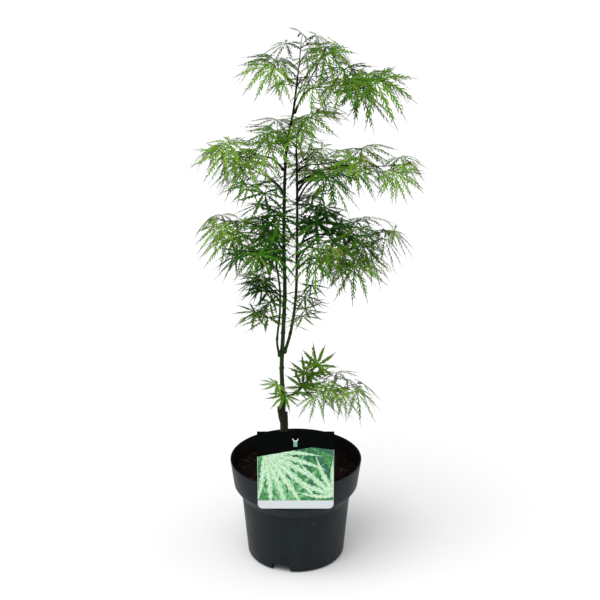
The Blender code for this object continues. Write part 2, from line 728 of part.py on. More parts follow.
def stalk_tree(stalk):
    """The outer part of a stalk, clear of the node it springs from."""
    start = stalk.points[0].lerp(stalk.points[1], 0.5)
    wide = PETIOLE_RADIUS + GAP
    return tree_of(tube(Line([start, *stalk.points[1:]], [wide] * 3), TWIG_SIDES))


def make_mass(mass, stem, grown):
    target = shape_object(mass.name, tube(stem, TWIG_SIDES), foliage())
    pieces = []
    for number, (stalk, leaf) in enumerate(grown):
        pieces.append(shape_object(f"stalk_{number}", tube(stalk, TWIG_SIDES), foliage()))
        pieces.append(shape_object(f"leaf_{number}", palmate_leaf(*leaf), foliage()))
    apply_boolean(target, "UNION", pieces)
    keep_largest_body(target)
    return target


def main():
    clear_scene()
    make_pot()
    make_soil()
    make_label()
    lines = {"trunk": trunk_line()}
    make_trunk(lines["trunk"])
    for stem in STEMS:
        lines[stem.name] = stem_line(stem, lines)
    for bough in BOUGHS:
        lines[bough.name] = bough_line(bough, lines)
    for limb in (*STEMS, *BOUGHS):
        shape_object(limb.name, tube(lines[limb.name], BOUGH_SIDES), bark(), math.radians(60))
    taken = []
    for name, line in lines.items():
        wider = Line(line.points, [radius + GAP for radius in line.radii])
        taken.append((name, tree_of(tube(wider, BOUGH_SIDES))))
    stems = {mass.name: mass_stem(mass, lines) for mass in MASSES}
    for name, stem in stems.items():
        wider = Line(stem.points, [radius + GAP for radius in stem.radii])
        taken.append((name, tree_of(tube(wider, TWIG_SIDES))))
    total = 0
    for mass in MASSES:
        grown = grow_leaves(mass, stems[mass.name], taken)
        make_mass(mass, stems[mass.name], grown)
        total += len(grown)
        print(mass.name, len(grown), "leaves of", mass.leaves)
    print(total, "leaves in all")


main()
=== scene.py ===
# %% [markdown]
# # A young japanese maple in a nursery pot
# This lesson dresses a plain solid model of a potted maple: a slim grafted tree with finely cut,
# hanging leaves, its pot of compost and the card that hangs on the rim. The solid model gives the
# size and the place of every piece, and each step below makes one piece or one finish over it.
# Units are metres, +Z is up and -Y is the front.

# %% Load the frame
import json
import math
import random
from collections import namedtuple
from contextlib import contextmanager

import bpy
from mathutils import Matrix, Vector, noise
from mathutils.bvhtree import BVHTree

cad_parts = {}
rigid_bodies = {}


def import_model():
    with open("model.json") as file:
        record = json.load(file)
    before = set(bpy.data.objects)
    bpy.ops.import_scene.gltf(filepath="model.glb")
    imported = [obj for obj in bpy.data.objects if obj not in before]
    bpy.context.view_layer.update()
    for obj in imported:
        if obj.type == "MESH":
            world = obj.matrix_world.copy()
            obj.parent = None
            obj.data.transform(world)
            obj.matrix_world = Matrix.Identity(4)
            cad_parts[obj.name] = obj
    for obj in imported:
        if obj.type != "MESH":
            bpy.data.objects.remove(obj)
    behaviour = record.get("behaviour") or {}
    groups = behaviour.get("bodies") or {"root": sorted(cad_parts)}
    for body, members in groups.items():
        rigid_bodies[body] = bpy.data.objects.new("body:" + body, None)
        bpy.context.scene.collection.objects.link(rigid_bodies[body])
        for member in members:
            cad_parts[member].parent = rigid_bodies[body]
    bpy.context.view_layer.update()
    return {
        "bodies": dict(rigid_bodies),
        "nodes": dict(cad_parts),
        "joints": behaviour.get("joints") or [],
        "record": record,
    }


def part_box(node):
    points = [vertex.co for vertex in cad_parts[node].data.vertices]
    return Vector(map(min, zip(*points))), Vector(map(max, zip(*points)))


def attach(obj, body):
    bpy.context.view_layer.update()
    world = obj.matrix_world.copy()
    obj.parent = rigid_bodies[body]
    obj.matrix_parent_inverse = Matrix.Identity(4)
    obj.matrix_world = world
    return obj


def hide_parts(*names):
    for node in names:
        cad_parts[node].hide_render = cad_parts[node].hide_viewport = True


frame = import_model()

MM = 0.001
UP = Vector((0.0, 0.0, 1.0))
BODY = "root"

# %% [markdown]
# ## Small helpers
# Operators act on whatever is selected, and the frame's nodes come in selected. So one helper
# clears the selection and makes a single object active, and others add a primitive by itself, open
# a mesh for editing or set up a modifier. The last ones hand a finished piece over: they shade it,
# give it its material, and say which body carries it and which solids it stands for.

# %% Selection, modifiers and edit mode
def only(piece):
    """Leaves one object selected and active."""
    bpy.ops.object.select_all(action="DESELECT")
    piece.select_set(True)
    bpy.context.view_layer.objects.active = piece


def add_primitive(operator, **settings):
    """The object that one of Blender's own primitive operators makes."""
    bpy.ops.object.select_all(action="DESELECT")
    operator(**settings)
    return bpy.context.object


@contextmanager
def editing(piece):
    """Edit mode on one object, in which edges are picked and everything is selected."""
    only(piece)
    bpy.ops.object.mode_set(mode="EDIT")
    bpy.ops.mesh.select_all(action="SELECT")
    bpy.ops.mesh.select_mode(type="EDGE")
    yield
    bpy.ops.object.mode_set(mode="OBJECT")


def add_modifier(piece, kind, **settings):
    """Adds a modifier of a kind, with its settings."""
    modifier = piece.modifiers.new(kind.lower(), kind)
    for key, value in settings.items():
        setattr(modifier, key, value)


def apply_all(piece):
    """Applies every modifier, and then moves the object's place into its mesh."""
    only(piece)
    for modifier in list(piece.modifiers):
        bpy.ops.object.modifier_apply(modifier=modifier.name)
    bpy.ops.object.transform_apply(location=True, rotation=True, scale=True)


def cut_with(piece, other, operation):
    """One applied Boolean, after which the other object is removed."""
    add_modifier(piece, "BOOLEAN", operation=operation, object=other)
    apply_all(piece)
    bpy.data.objects.remove(other, do_unlink=True)


def around(turn):
    """The level direction at a turn about the Z axis."""
    return Vector((math.cos(turn), math.sin(turn), 0.0))


def mix(first, second, share):
    """The value at a share of the way from one to another."""
    return first + (second - first) * share


# %% Meshes from arrays, and the hand-over
def joined(shapes):
    """Several (vertices, faces) shapes as one."""
    verts = []
    faces = []
    for shape_verts, shape_faces in shapes:
        first = len(verts)
        verts += shape_verts
        faces += [tuple(first + corner for corner in face) for face in shape_faces]
    return verts, faces


def from_shapes(name, shapes):
    """An object made straight from (vertices, faces) shapes, for what a rule grows."""
    verts, faces = joined(shapes)
    mesh = bpy.data.meshes.new(name)
    mesh.from_pydata([tuple(vert) for vert in verts], [], faces)
    mesh.validate()
    made = bpy.data.objects.new(name, mesh)
    bpy.context.scene.collection.objects.link(made)
    return made


def hand_over(piece, name, finish, nodes=(), smooth_angle=None):
    """Names a piece, finishes it and ties it to the frame."""
    piece.name = name
    piece.data.name = name
    piece.data.materials.clear()
    piece.data.materials.append(finish)
    only(piece)
    if smooth_angle is None:
        bpy.ops.object.shade_flat()
    else:
        bpy.ops.object.shade_smooth_by_angle(angle=smooth_angle)
    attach(piece, BODY)
    if nodes:
        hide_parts(*nodes)
    print(name, len(piece.data.polygons), "faces")


def grow_piece(name, shapes, finish, nodes=(), smooth_angle=None):
    """A piece made straight from (vertices, faces) shapes, handed over at once."""
    hand_over(from_shapes(name, shapes), name, finish, nodes, smooth_angle)


# %% [markdown]
# ## Materials
# A material is a small graph of nodes that ends in one Principled shader. Colours are written as
# the sRGB hex values that a colour picker shows, and one function turns them into the linear
# values that the renderer works in. A small class adds the few kinds of node that every finish
# here is made of. Pattern scales come from real sizes: a noise of scale 1 / size has lumps about
# that size.

# %% Colour and nodes
MIX_FACTOR, MIX_A, MIX_B, MIX_COLOUR = 0, 6, 7, 2


def linear(hex_colour):
    """The renderer's linear colour for an sRGB hex value."""
    channels = [int(hex_colour[start : start + 2], 16) / 255 for start in (0, 2, 4)]
    bent = [c / 12.92 if c <= 0.04045 else ((c + 0.055) / 1.055) ** 2.4 for c in channels]
    return (*bent, 1.0)


class Finish:
    """A Principled material that grows node by node, in the object's own coordinates."""

    def __init__(self, name, **values):
        self.made = bpy.data.materials.new(name)
        self.made.use_nodes = True
        self.tree = self.made.node_tree
        self.shader = self.tree.nodes["Principled BSDF"]
        for key, value in values.items():
            self.shader.inputs[key.replace("_", " ")].default_value = value
        self.place = self.add("ShaderNodeTexCoord", {}).outputs["Object"]

    def add(self, kind, inputs, **settings):
        """Adds a node. Each input is either a value or the output that feeds it."""
        node = self.tree.nodes.new(kind)
        for key, value in settings.items():
            setattr(node, key, value)
        for key, value in inputs.items():
            if isinstance(value, bpy.types.NodeSocket):
                self.tree.links.new(value, node.inputs[key])
            else:
                node.inputs[key].default_value = value
        return node

    def feed(self, socket, output):
        """Links an output to one of the shader's sockets."""
        self.tree.links.new(output, self.shader.inputs[socket])

    def drawn_out(self, height_share, turn=(0, 0, 0)):
        """Coordinates in which a pattern comes out longer along Z."""
        inputs = {"Vector": self.place, "Scale": (1, 1, height_share), "Rotation": turn}
        return self.add("ShaderNodeMapping", inputs).outputs[0]

    def noise(self, size, detail, roughness=0.5, place=None):
        """A cloudy noise with lumps of a size."""
        inputs = {"Vector": place or self.place, "Scale": 1 / size}
        inputs.update({"Detail": detail, "Roughness": roughness})
        return self.add("ShaderNodeTexNoise", inputs).outputs[0]

    def cells(self, size):
        """The distance from the nearest of points that lie about a size apart."""
        inputs = {"Vector": self.place, "Scale": 1 / size}
        return self.add("ShaderNodeTexVoronoi", inputs).outputs["Distance"]

    def remap(self, value, low, high, new_low=0.0, new_high=1.0):
        """A value moved from one range to another, and held within it."""
        inputs = {0: value, 1: low, 2: high, 3: new_low, 4: new_high}
        return self.add("ShaderNodeMapRange", inputs).outputs[0]

    def blend(self, share, first, second):
        """A mix of two colours, each a hex value or the output that gives it."""
        first, second = (linear(c) if isinstance(c, str) else c for c in (first, second))
        inputs = {MIX_FACTOR: share, MIX_A: first, MIX_B: second}
        return self.add("ShaderNodeMix", inputs, data_type="RGBA").outputs[MIX_COLOUR]

    def relief(self, height, strength, distance):
        """Fine bumps on the shader's normal."""
        inputs = {"Height": height, "Strength": strength, "Distance": distance}
        self.feed("Normal", self.add("ShaderNodeBump", inputs).outputs[0])


# %% [markdown]
# ### Moulded polypropylene: the pot
# Nursery pots are injection moulded from recycled polypropylene, a dull charcoal with a trace of
# blue. The mould leaves a fine grain and faint upright flow lines, and handling leaves pale
# scuffs. IOR 1.49 is polypropylene's; the roughness is that of a lightly grained mould. The grain
# is really about 0.2 mm and is drawn at 0.7 mm, so that it shows. Inside, the same plastic is
# drawn almost black, which is painted shade for the inner wall in the pot's own shadow.

# %% Pot plastic
def make_pot_plastic(name, dark, light, scuffed):
    """Moulded plastic in two close tones, with pale scuffs."""
    finish = Finish(name, IOR=1.49, Specular_IOR_Level=0.12)
    flow = finish.noise(22 * MM, detail=3.0, place=finish.drawn_out(0.06))
    cloud = finish.noise(38 * MM, detail=5.0, roughness=0.6)
    both = finish.add("ShaderNodeMath", {0: flow, 1: cloud}).outputs[0]
    tone = finish.blend(finish.remap(both, 0.75, 1.25), dark, light)
    # Scuffs: the thin crests of a slanted noise, a little paler than the rest
    slanted = finish.drawn_out(0.3, turn=(0.4, 0.2, 0))
    scuffs = finish.noise(9 * MM, detail=6.0, roughness=0.7, place=slanted)
    finish.feed("Base Color", finish.blend(finish.remap(scuffs, 0.64, 0.78), tone, scuffed))
    finish.feed("Roughness", finish.remap(cloud, 0.3, 0.7, 0.36, 0.52))
    finish.relief(finish.noise(0.7 * MM, detail=2.0), strength=0.16, distance=0.15 * MM)
    return finish.made


pot_plastic = make_pot_plastic("moulded_polypropylene", "12191D", "182126", "283239")
# Painted shade: a near-black copy of the plastic for the inside of the wall, which lies in the pot's
# shadow
inner_shade_plastic = make_pot_plastic("stained_polypropylene", "070605", "0D0C0B", "14110F")

# %% [markdown]
# ### Bark compost, its crumbs and its fibres
# Potting compost for maples is milled bark and peat: matt, with crumbs of 1 to 5 mm and a few
# straw-coloured root hairs. The bed's dark brown is drawn almost black, which is painted shade: it
# lies in the shadow of the pot's wall. The bed, the crumbs and the fibres are separate pieces, so
# each kind gets its own two tones, with fine cells for the grit.

# %% Compost finishes
def make_crumbly(name, dark, light, lump):
    """A dull earthy finish: two tones by a noise, and grit as bump."""
    finish = Finish(name, Roughness=0.95, IOR=1.45, Specular_IOR_Level=0.1)
    spots = finish.noise(lump, detail=6.0)
    finish.feed("Base Color", finish.blend(finish.remap(spots, 0.38, 0.68), dark, light))
    finish.relief(finish.cells(1.2 * MM), strength=0.7, distance=0.6 * MM)
    return finish.made


# Painted shade: the bed's two tones are darkened almost to black for the shadow inside the pot
compost = make_crumbly("bark_compost", "040201", "110905", 4 * MM)
dark_crumb = make_crumbly("bark_crumbs", "070302", "20110A", 3 * MM)
pale_crumb = make_crumbly("pale_crumbs", "1E100A", "4C3222", 3 * MM)
fibre_finish = make_crumbly("root_fibres", "40281B", "7F5F45", 2 * MM)

# %% [markdown]
# ### Bark
# The rootstock at the foot is older wood: dark olive brown, with upright cracks. The maple that was
# grafted on it has thin green bark that darkens to a brownish black on the young shoots, with pale
# pores called lenticels. Both read object coordinates squeezed along Z, so the cracks run up the
# stem, and the green one also reads the height.

# %% Bark finishes
def make_old_bark():
    """Dark cracked bark, whose cracks are both colour and relief."""
    finish = Finish("old_bark", Roughness=0.88, IOR=1.5)
    cracks = finish.noise(1.6 * MM, detail=6.0, roughness=0.65, place=finish.drawn_out(0.22))
    finish.feed("Base Color", finish.blend(finish.remap(cracks, 0.36, 0.7), "0A0906", "2C2D18"))
    finish.relief(cracks, strength=0.9, distance=0.5 * MM)
    return finish.made


def make_young_bark(name, low_colour, high_colour, low, high):
    """Thin bark whose colour changes between two heights, with pale pores."""
    finish = Finish(name, Roughness=0.6, IOR=1.45, Specular_IOR_Level=0.2)
    height = finish.add("ShaderNodeSeparateXYZ", {"Vector": finish.place}).outputs["Z"]
    green = finish.blend(finish.remap(height, low, high), low_colour, high_colour)
    streaks = finish.noise(1.8 * MM, detail=5.0, place=finish.drawn_out(0.3))
    shade = finish.remap(streaks, 0.35, 0.65, 0.6, 1.25)
    streaked = finish.add("ShaderNodeVectorMath", {0: green, "Scale": shade}, operation="SCALE")
    pore = finish.remap(finish.cells(2.6 * MM), 0.16, 0.08)
    finish.feed("Base Color", finish.blend(pore, streaked.outputs[0], "8A8458"))
    finish.relief(streaks, strength=0.35, distance=0.3 * MM)
    return finish.made


old_bark = make_old_bark()
green_bark = make_young_bark("green_bark", "22390D", "090906", 340 * MM, 500 * MM)
twig_bark = make_young_bark("twig_bark", "1C2B0E", "0B0A06", 300 * MM, 500 * MM)

# %% [markdown]
# ### Leaves
# A maple leaf is a thin satin blade: a waxy skin over green flesh, bright yellow-green while it is
# young and deep green later. Each tint is one material with one plain base colour, dealt out by
# spray, and only its gloss and its fine veins come from noise. That keeps the colours in place
# when the meshes are exported.

# %% Leaf finishes, from the oldest leaves to the newest
# Painted shade in part: besides the older leaves' own deeper green, the darker tints go to the sprays
# inside and under the crown for the shade they stand in
LEAF_TINTS = {
    "deep": "214A0E",
    "full": "3E6E18",
    "olive": "53771E",
    "fresh": "5C8920",
    "young": "709A2A",
    "new": "98A945",
}
POINT_COLOUR = "29240F"
STALK_COLOUR = "211F0F"


def make_leaf(name, hex_colour):
    """Leaf skin: a waxy satin over one plain green."""
    finish = Finish(name, Base_Color=linear(hex_colour), IOR=1.42, Specular_IOR_Level=0.07)
    skin = finish.noise(2.2 * MM, detail=3.0)
    finish.feed("Roughness", finish.remap(skin, 0.3, 0.7, 0.5, 0.66))
    finish.relief(skin, strength=0.3, distance=0.25 * MM)
    return finish.made


# %% [markdown]
# ### Printed card
# The hanging card is white polypropylene sheet, printed and lacquered. An ink is one colour, or
# two in soft blotches, under a clear glossy coat with the slight unevenness of a thin lacquer.

# %% Card inks
def make_ink(name, colour, second=None, roughness=0.4, coat=0.3, shine=0.3):
    """Ink under clear lacquer: its colour or colours, a coat and a faint ripple."""
    finish = Finish(
        name,
        Base_Color=linear(colour),
        Roughness=roughness,
        IOR=1.5,
        Coat_Weight=coat,
        Coat_Roughness=0.2,
        Specular_IOR_Level=shine,
    )
    finish.relief(finish.noise(9 * MM, detail=2.0), strength=0.08, distance=0.4 * MM)
    if second:
        blotches = finish.remap(finish.noise(4 * MM, detail=4.0), 0.38, 0.62)
        finish.feed("Base Color", finish.blend(blotches, colour, second))
    return finish.made


print("materials:", len(bpy.data.materials))

# %% [markdown]
# ## The pot
# A 3 litre nursery pot is one thin moulding: a round foot with drainage notches at its edge, a
# tapered body, a step out to a deeper collar, and a thin lip. It could be spun from a profile; here
# it grows by hand from the foot upwards. A filled circle is the underside, each ring is extruded
# and scaled from the one below, and the same moves run back down inside for the wall. Sharp rings
# are then bevelled, and the notches are cut by boxes.

# %% Pot sizes
pot_low, pot_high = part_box("pot")
RIM_RADIUS = 95 * MM
POT_TOP = pot_high.z
COLLAR_RADIUS = 89.8 * MM
COLLAR_FOOT = 111 * MM
SHOULDER_RADIUS = 78.7 * MM
SHOULDER_HEIGHT = 94 * MM
FOOT_RADIUS = 70.8 * MM
FOOT_ROUNDING = 5 * MM
FOOT_RING = 1.8 * MM
RECESS_HEIGHT = 12 * MM
POT_WALL = 1.4 * MM
POT_FLOOR = 2.2 * MM
POT_SIDES = 160
POT_SMOOTH = math.radians(28)
NOTCHES = 3
NOTCH_SIZE = (24 * MM, 27 * MM, 22 * MM)
FIRST_NOTCH = math.radians(252)
SOIL_TOP = 130 * MM
print("pot is", round((pot_high.x - pot_low.x) / MM), "mm across and", round(POT_TOP / MM), "high")

POT_STATIONS = (
    (0.0, FOOT_RADIUS),
    (SHOULDER_HEIGHT, SHOULDER_RADIUS),
    (COLLAR_FOOT, COLLAR_RADIUS),
    (POT_TOP, RIM_RADIUS),
)


def pot_radius(height):
    """The outer radius of the pot at a height."""
    for (low, inner), (high, outer) in zip(POT_STATIONS, POT_STATIONS[1:]):
        if height <= high:
            return inner + (outer - inner) * (height - low) / (high - low)
    return RIM_RADIUS


# %% Pot walls, ring by ring
def grow_rings(rings):
    """From the selected rim of the open mesh, extrudes one ring for each (radius, height)."""
    for (before, low), (after, high) in zip(rings, rings[1:]):
        bpy.ops.mesh.extrude_region_move(TRANSFORM_OT_translate={"value": (0, 0, high - low)})
        share = after / before
        bpy.ops.transform.resize(value=(share, share, 1), center_override=(0, 0, high))


def close_rim():
    """Caps the selected rim, and turns every face of the closed mesh outwards."""
    bpy.ops.mesh.edge_face_add()
    bpy.ops.mesh.select_all(action="SELECT")
    bpy.ops.mesh.normals_make_consistent(inside=False)


tread = FOOT_RADIUS - FOOT_ROUNDING
outside = [(tread, RECESS_HEIGHT), (tread - FOOT_RING, 0.0), (tread, 0.0)]
for step in range(1, 5):
    turn = step * math.pi / 8
    outside.append((tread + FOOT_ROUNDING * math.sin(turn), FOOT_ROUNDING * (1 - math.cos(turn))))
outside += [(radius, height) for height, radius in POT_STATIONS[1:]]
floor_top = RECESS_HEIGHT + POT_FLOOR
wall_heights = (POT_TOP, COLLAR_FOOT, SHOULDER_HEIGHT, floor_top)
inside = [(pot_radius(height) - POT_WALL, height) for height in wall_heights]
underside = {"fill_type": "NGON", "location": (0, 0, RECESS_HEIGHT)}
pot = add_primitive(
    bpy.ops.mesh.primitive_circle_add, vertices=POT_SIDES, radius=tread, **underside
)
with editing(pot):
    grow_rings(outside + inside)
    close_rim()

# %% Rounded rings and drainage notches
only(pot)
sharp = math.radians(18)
add_modifier(pot, "BEVEL", width=0.6 * MM, segments=3, limit_method="ANGLE", angle_limit=sharp)
bpy.ops.object.modifier_apply(modifier="bevel")
for number in range(NOTCHES):
    turn = FIRST_NOTCH + number * 2 * math.pi / NOTCHES
    notch = {"location": FOOT_RADIUS * around(turn), "rotation": (0, 0, turn)}
    cutter = add_primitive(bpy.ops.mesh.primitive_cube_add, size=1, **notch)
    cutter.scale = NOTCH_SIZE
    apply_all(cutter)
    cut_with(pot, cutter, "DIFFERENCE")
hand_over(pot, "pot_shell", pot_plastic, ["pot"], POT_SMOOTH)

# Painted shade inside the wall: whatever lies nearer the axis than the wall's middle takes the
# near-black copy
INNER_SHADE_DEPTH = 0.7 * POT_WALL
pot.data.materials.append(inner_shade_plastic)
for face in pot.data.polygons:
    reach = math.hypot(face.center.x, face.center.y)
    if face.center.z > floor_top and reach < pot_radius(face.center.z) - INNER_SHADE_DEPTH:
        face.material_index = 1

# %% [markdown]
# ## The compost
# The bed is a disc with concentric rings, made by insetting a circle again and again, so that
# there are vertices to push up and down. Two Displace modifiers with cloud textures give it humps
# and grit, and are applied. Crumbs and fibres lie on it: each crumb is a squashed, turned little
# icosphere, and each fibre a thin curved tube.

# %% Compost bed
BED_SIDES = 128
BED_RINGS = 34
BED_SLACK = 0.5 * MM
BED_SINK = 2 * MM
BED_SMOOTH = math.radians(50)


def displace(piece, size, strength, depth, direction, group=""):
    """A Displace modifier with a cloud texture of one lump size."""
    clouds = bpy.data.textures.new("clouds", "CLOUDS")
    clouds.noise_scale = size
    clouds.noise_depth = depth
    push = {"texture": clouds, "texture_coords": "LOCAL", "strength": strength, "mid_level": 0.5}
    add_modifier(piece, "DISPLACE", **push, direction=direction, vertex_group=group)


bed_radius = pot_radius(SOIL_TOP) - POT_WALL - BED_SLACK
rings = [(bed_radius, SOIL_TOP - BED_SINK)]
rings += [(radius - BED_SLACK, height) for radius, height in inside[1:-1]]
rings.append((inside[-1][0] - BED_SLACK, floor_top + BED_SLACK))
surface = {"fill_type": "NGON", "location": (0, 0, SOIL_TOP - BED_SINK)}
bed = add_primitive(
    bpy.ops.mesh.primitive_circle_add, vertices=BED_SIDES, radius=bed_radius, **surface
)
with editing(bed):
    for ring in range(BED_RINGS):
        bpy.ops.mesh.inset(thickness=bed_radius / (BED_RINGS + 1.5), use_even_offset=False)
    bpy.ops.mesh.poke()
    bpy.ops.mesh.select_all(action="DESELECT")
    bpy.ops.mesh.select_non_manifold(extend=False)
    grow_rings(rings)
    close_rim()
top_group = bed.vertex_groups.new(name="top")
top_verts = [vert.index for vert in bed.data.vertices if vert.co.z > -BED_SINK]
top_group.add(top_verts, 1.0, "REPLACE")
displace(bed, 26 * MM, 7 * MM, 1, "Z", "top")
displace(bed, 5 * MM, 4 * MM, 3, "Z", "top")
apply_all(bed)
bed_verts = [vert.co.copy() for vert in bed.data.vertices]
bed_tree = BVHTree.FromPolygons(bed_verts, [face.vertices[:] for face in bed.data.polygons])
hand_over(bed, "compost_bed", compost, ["soil"], BED_SMOOTH)


def bed_height(x, y):
    """The height of the compost's surface under a point."""
    hit = bed_tree.ray_cast(Vector((x, y, POT_TOP)), -UP)[0]
    return hit.z if hit else SOIL_TOP


# %% Crumbs
CRUMBS = 1500
BED_MARGIN = 4 * MM
CRUMB_SUNK = 0.25


def scatter(rng, inner):
    """A random place on the bed, spread evenly over its area outside an inner radius."""
    reach = bed_radius - BED_MARGIN
    away = math.sqrt(rng.uniform((inner / reach) ** 2, 1)) * reach
    turn = rng.uniform(0, 2 * math.pi)
    x, y = away * math.cos(turn), away * math.sin(turn)
    return Vector((x, y, bed_height(x, y)))


def lay_crumbs(name, count, smallest, largest, seed, finish):
    """Squashed, stretched and turned copies of the crumb, sunk a little into the bed."""
    rng = random.Random(seed)
    shapes = []
    for crumb in range(count):
        place = scatter(rng, 6 * MM)
        size = mix(smallest, largest, rng.random() ** 3)
        spin = Matrix.Rotation(rng.uniform(0, 2 * math.pi), 3, "Z")
        spin = spin @ Matrix.Rotation(rng.uniform(-0.6, 0.6), 3, "X")
        stretch = Vector((rng.uniform(0.7, 1.7), rng.uniform(0.5, 1.0), rng.uniform(0.3, 0.7)))
        verts = []
        for corner in crumb_corners:
            rough = corner * rng.uniform(0.75, 1.15)
            shaped = Vector((rough.x * stretch.x, rough.y * stretch.y, rough.z * stretch.z)) * size
            verts.append(place + UP * CRUMB_SUNK * size + spin @ shaped)
        shapes.append((verts, crumb_sides))
    grow_piece(name, shapes, finish)


# One icosphere of 20 faces is read once and copied for each crumb
ball = add_primitive(bpy.ops.mesh.primitive_ico_sphere_add, subdivisions=1, radius=1)
crumb_corners = [vert.co.copy() for vert in ball.data.vertices]
crumb_sides = [tuple(face.vertices) for face in ball.data.polygons]
bpy.data.objects.remove(ball, do_unlink=True)
lay_crumbs("crumbs_dark", CRUMBS, 0.8 * MM, 4.2 * MM, 11, dark_crumb)
lay_crumbs("crumbs_pale", CRUMBS // 10, 0.7 * MM, 2.6 * MM, 12, pale_crumb)

# %% [markdown]
# ## Lines and tubes
# Everything woody follows a line: a list of points with a radius at each. The trunk's line is a
# smooth curve through a few named places, a bough's is an arch that leaves its carrier, and a tube
# is a ring of corners round every point. The same lines serve twice: coarse, to grow the tree by
# the rule that the solid model uses, and fine, to model the bark.

# %% Line helpers
GAP = 0.3 * MM
CLEAR_STEP = 0.2 * MM
Line = namedtuple("Line", "points radii")


def even_line(points, radius):
    """A line with one radius all along."""
    return Line(points, [radius] * len(points))


def heading_at(line, index):
    """The direction of the stretch that ends at one of a line's points."""
    return (line.points[index] - line.points[index - 1]).normalized()


def smooth_line(points, radii, step):
    """A Catmull-Rom line through the points, with the radii carried along it."""
    padded = [2 * points[0] - points[1], *points, 2 * points[-1] - points[-2]]
    places = []
    widths = []
    for index in range(len(points) - 1):
        a, b, c, d = padded[index : index + 4]
        pieces = max(1, round((c - b).length / step))
        for piece in range(pieces):
            t = piece / pieces
            place = 2 * b + (c - a) * t + (2 * a - 5 * b + 4 * c - d) * t**2
            places.append(0.5 * (place + (3 * b - a - 3 * c + d) * t**3))
            widths.append(mix(radii[index], radii[index + 1], t))
    return Line([*places, points[-1]], [*widths, radii[-1]])


# %% Places on a carrier
def nearest_on(line, place):
    """Distance from a place to a line's axis, with the line's radius and direction there."""
    best = None
    for index in range(len(line.points) - 1):
        start, end = line.points[index : index + 2]
        along = end - start
        t = min(1.0, max(0.0, (place - start).dot(along) / along.length_squared))
        away = (place - start - along * t).length
        if best is None or away < best[0]:
            radius = mix(line.radii[index], line.radii[index + 1], t)
            best = (away, radius, along.normalized())
    return best


def place_at_height(line, height):
    """The place where a rising line reaches a height."""
    for start, end in zip(line.points, line.points[1:]):
        if start.z <= height <= end.z:
            return start.lerp(end, (height - start.z) / (end.z - start.z))
    return line.points[-1].copy()


def leave_carrier(line, carrier):
    """Cuts off the start of a line inside its carrier, so that its end cap stands just clear."""
    for index in range(len(line.points) - 1):
        start, end = line.points[index : index + 2]
        steps = max(1, math.ceil((end - start).length / CLEAR_STEP))
        for step in range(steps):
            place = start.lerp(end, step / steps)
            away, radius, along = nearest_on(carrier, place)
            lean = abs(along.dot((end - start).normalized()))
            if away >= radius + GAP + line.radii[index] * lean:
                return Line([place, *line.points[index + 1 :]], list(line.radii[index:]))
    return line


def heading_of(azimuth, lift):
    """The direction at an azimuth and a lift above level, both in degrees."""
    rise = math.radians(lift)
    return around(math.radians(azimuth)) * math.cos(rise) + UP * math.sin(rise)


# %% Tubes
def tube(line, sides, swell=None):
    """A closed tube along a line. Swell gives each ring corner's radius a factor of its own."""
    points, radii = line
    verts = []
    along = (points[1] - points[0]).normalized()
    side = along.orthogonal().normalized()
    for index, place in enumerate(points):
        before = points[max(index - 1, 0)]
        after = points[min(index + 1, len(points) - 1)]
        heading = (after - before).normalized()
        side = (side - heading * side.dot(heading)).normalized()
        across = heading.cross(side)
        for corner in range(sides):
            turn = 2 * math.pi * corner / sides
            way = math.cos(turn) * side + math.sin(turn) * across
            factor = swell(place, way) if swell else 1.0
            verts.append(place + radii[index] * factor * way)
    faces = [tuple(range(sides))[::-1]]
    for ring in range(len(points) - 1):
        for corner in range(sides):
            after = (corner + 1) % sides
            low = ring * sides
            high = low + sides
            faces.append((low + corner, low + after, high + after, high + corner))
    last = (len(points) - 1) * sides
    faces.append(tuple(range(last, last + sides)))
    return verts, faces


# %% Root hairs
FIBRES = 60
FIBRE_SEED = 13
FIBRE_RADIUS = 0.2 * MM
FIBRE_STEPS = 5
FIBRE_LIFT = 0.6 * MM
rng = random.Random(FIBRE_SEED)
shapes = []
for fibre in range(FIBRES):
    place = scatter(rng, 10 * MM)
    way = rng.uniform(0, 2 * math.pi)
    bend = rng.uniform(-1.6, 1.6)
    length = rng.uniform(5 * MM, 16 * MM)
    arch = rng.uniform(0.5 * MM, 3 * MM)
    points = []
    for step in range(FIBRE_STEPS + 1):
        share = step / FIBRE_STEPS
        place = place + around(way + bend * share) * length / FIBRE_STEPS
        # A point past the bed's margin is pulled back over the bed, clear of the pot's wall
        pull = min(1.0, (bed_radius - BED_MARGIN) / math.hypot(place.x, place.y))
        x, y = place.x * pull, place.y * pull
        lift = arch * math.sin(math.pi * share) + FIBRE_LIFT
        points.append(Vector((x, y, bed_height(x, y) + lift)))
    shapes.append(tube(even_line(points, FIBRE_RADIUS), 3))
grow_piece("root_hairs", shapes, fibre_finish)

# %% [markdown]
# ## The hanging card
# The card is a stiff printed sheet with two rounded lower corners, a punched hole and a tongue that
# hooks over the rim. Its print is a dark head, a picture panel with a slanted top and a bare white
# foot. The picture is a plain pattern: fans of toothed blades in several greens. The head and the
# panel are very thin solids, a few hundredths of a millimetre in front of the sheet, and so is
# every layer of blades in front of the last, so the edges stay sharp at any size and no image is
# needed. The blades are cut to the panel with bisect.

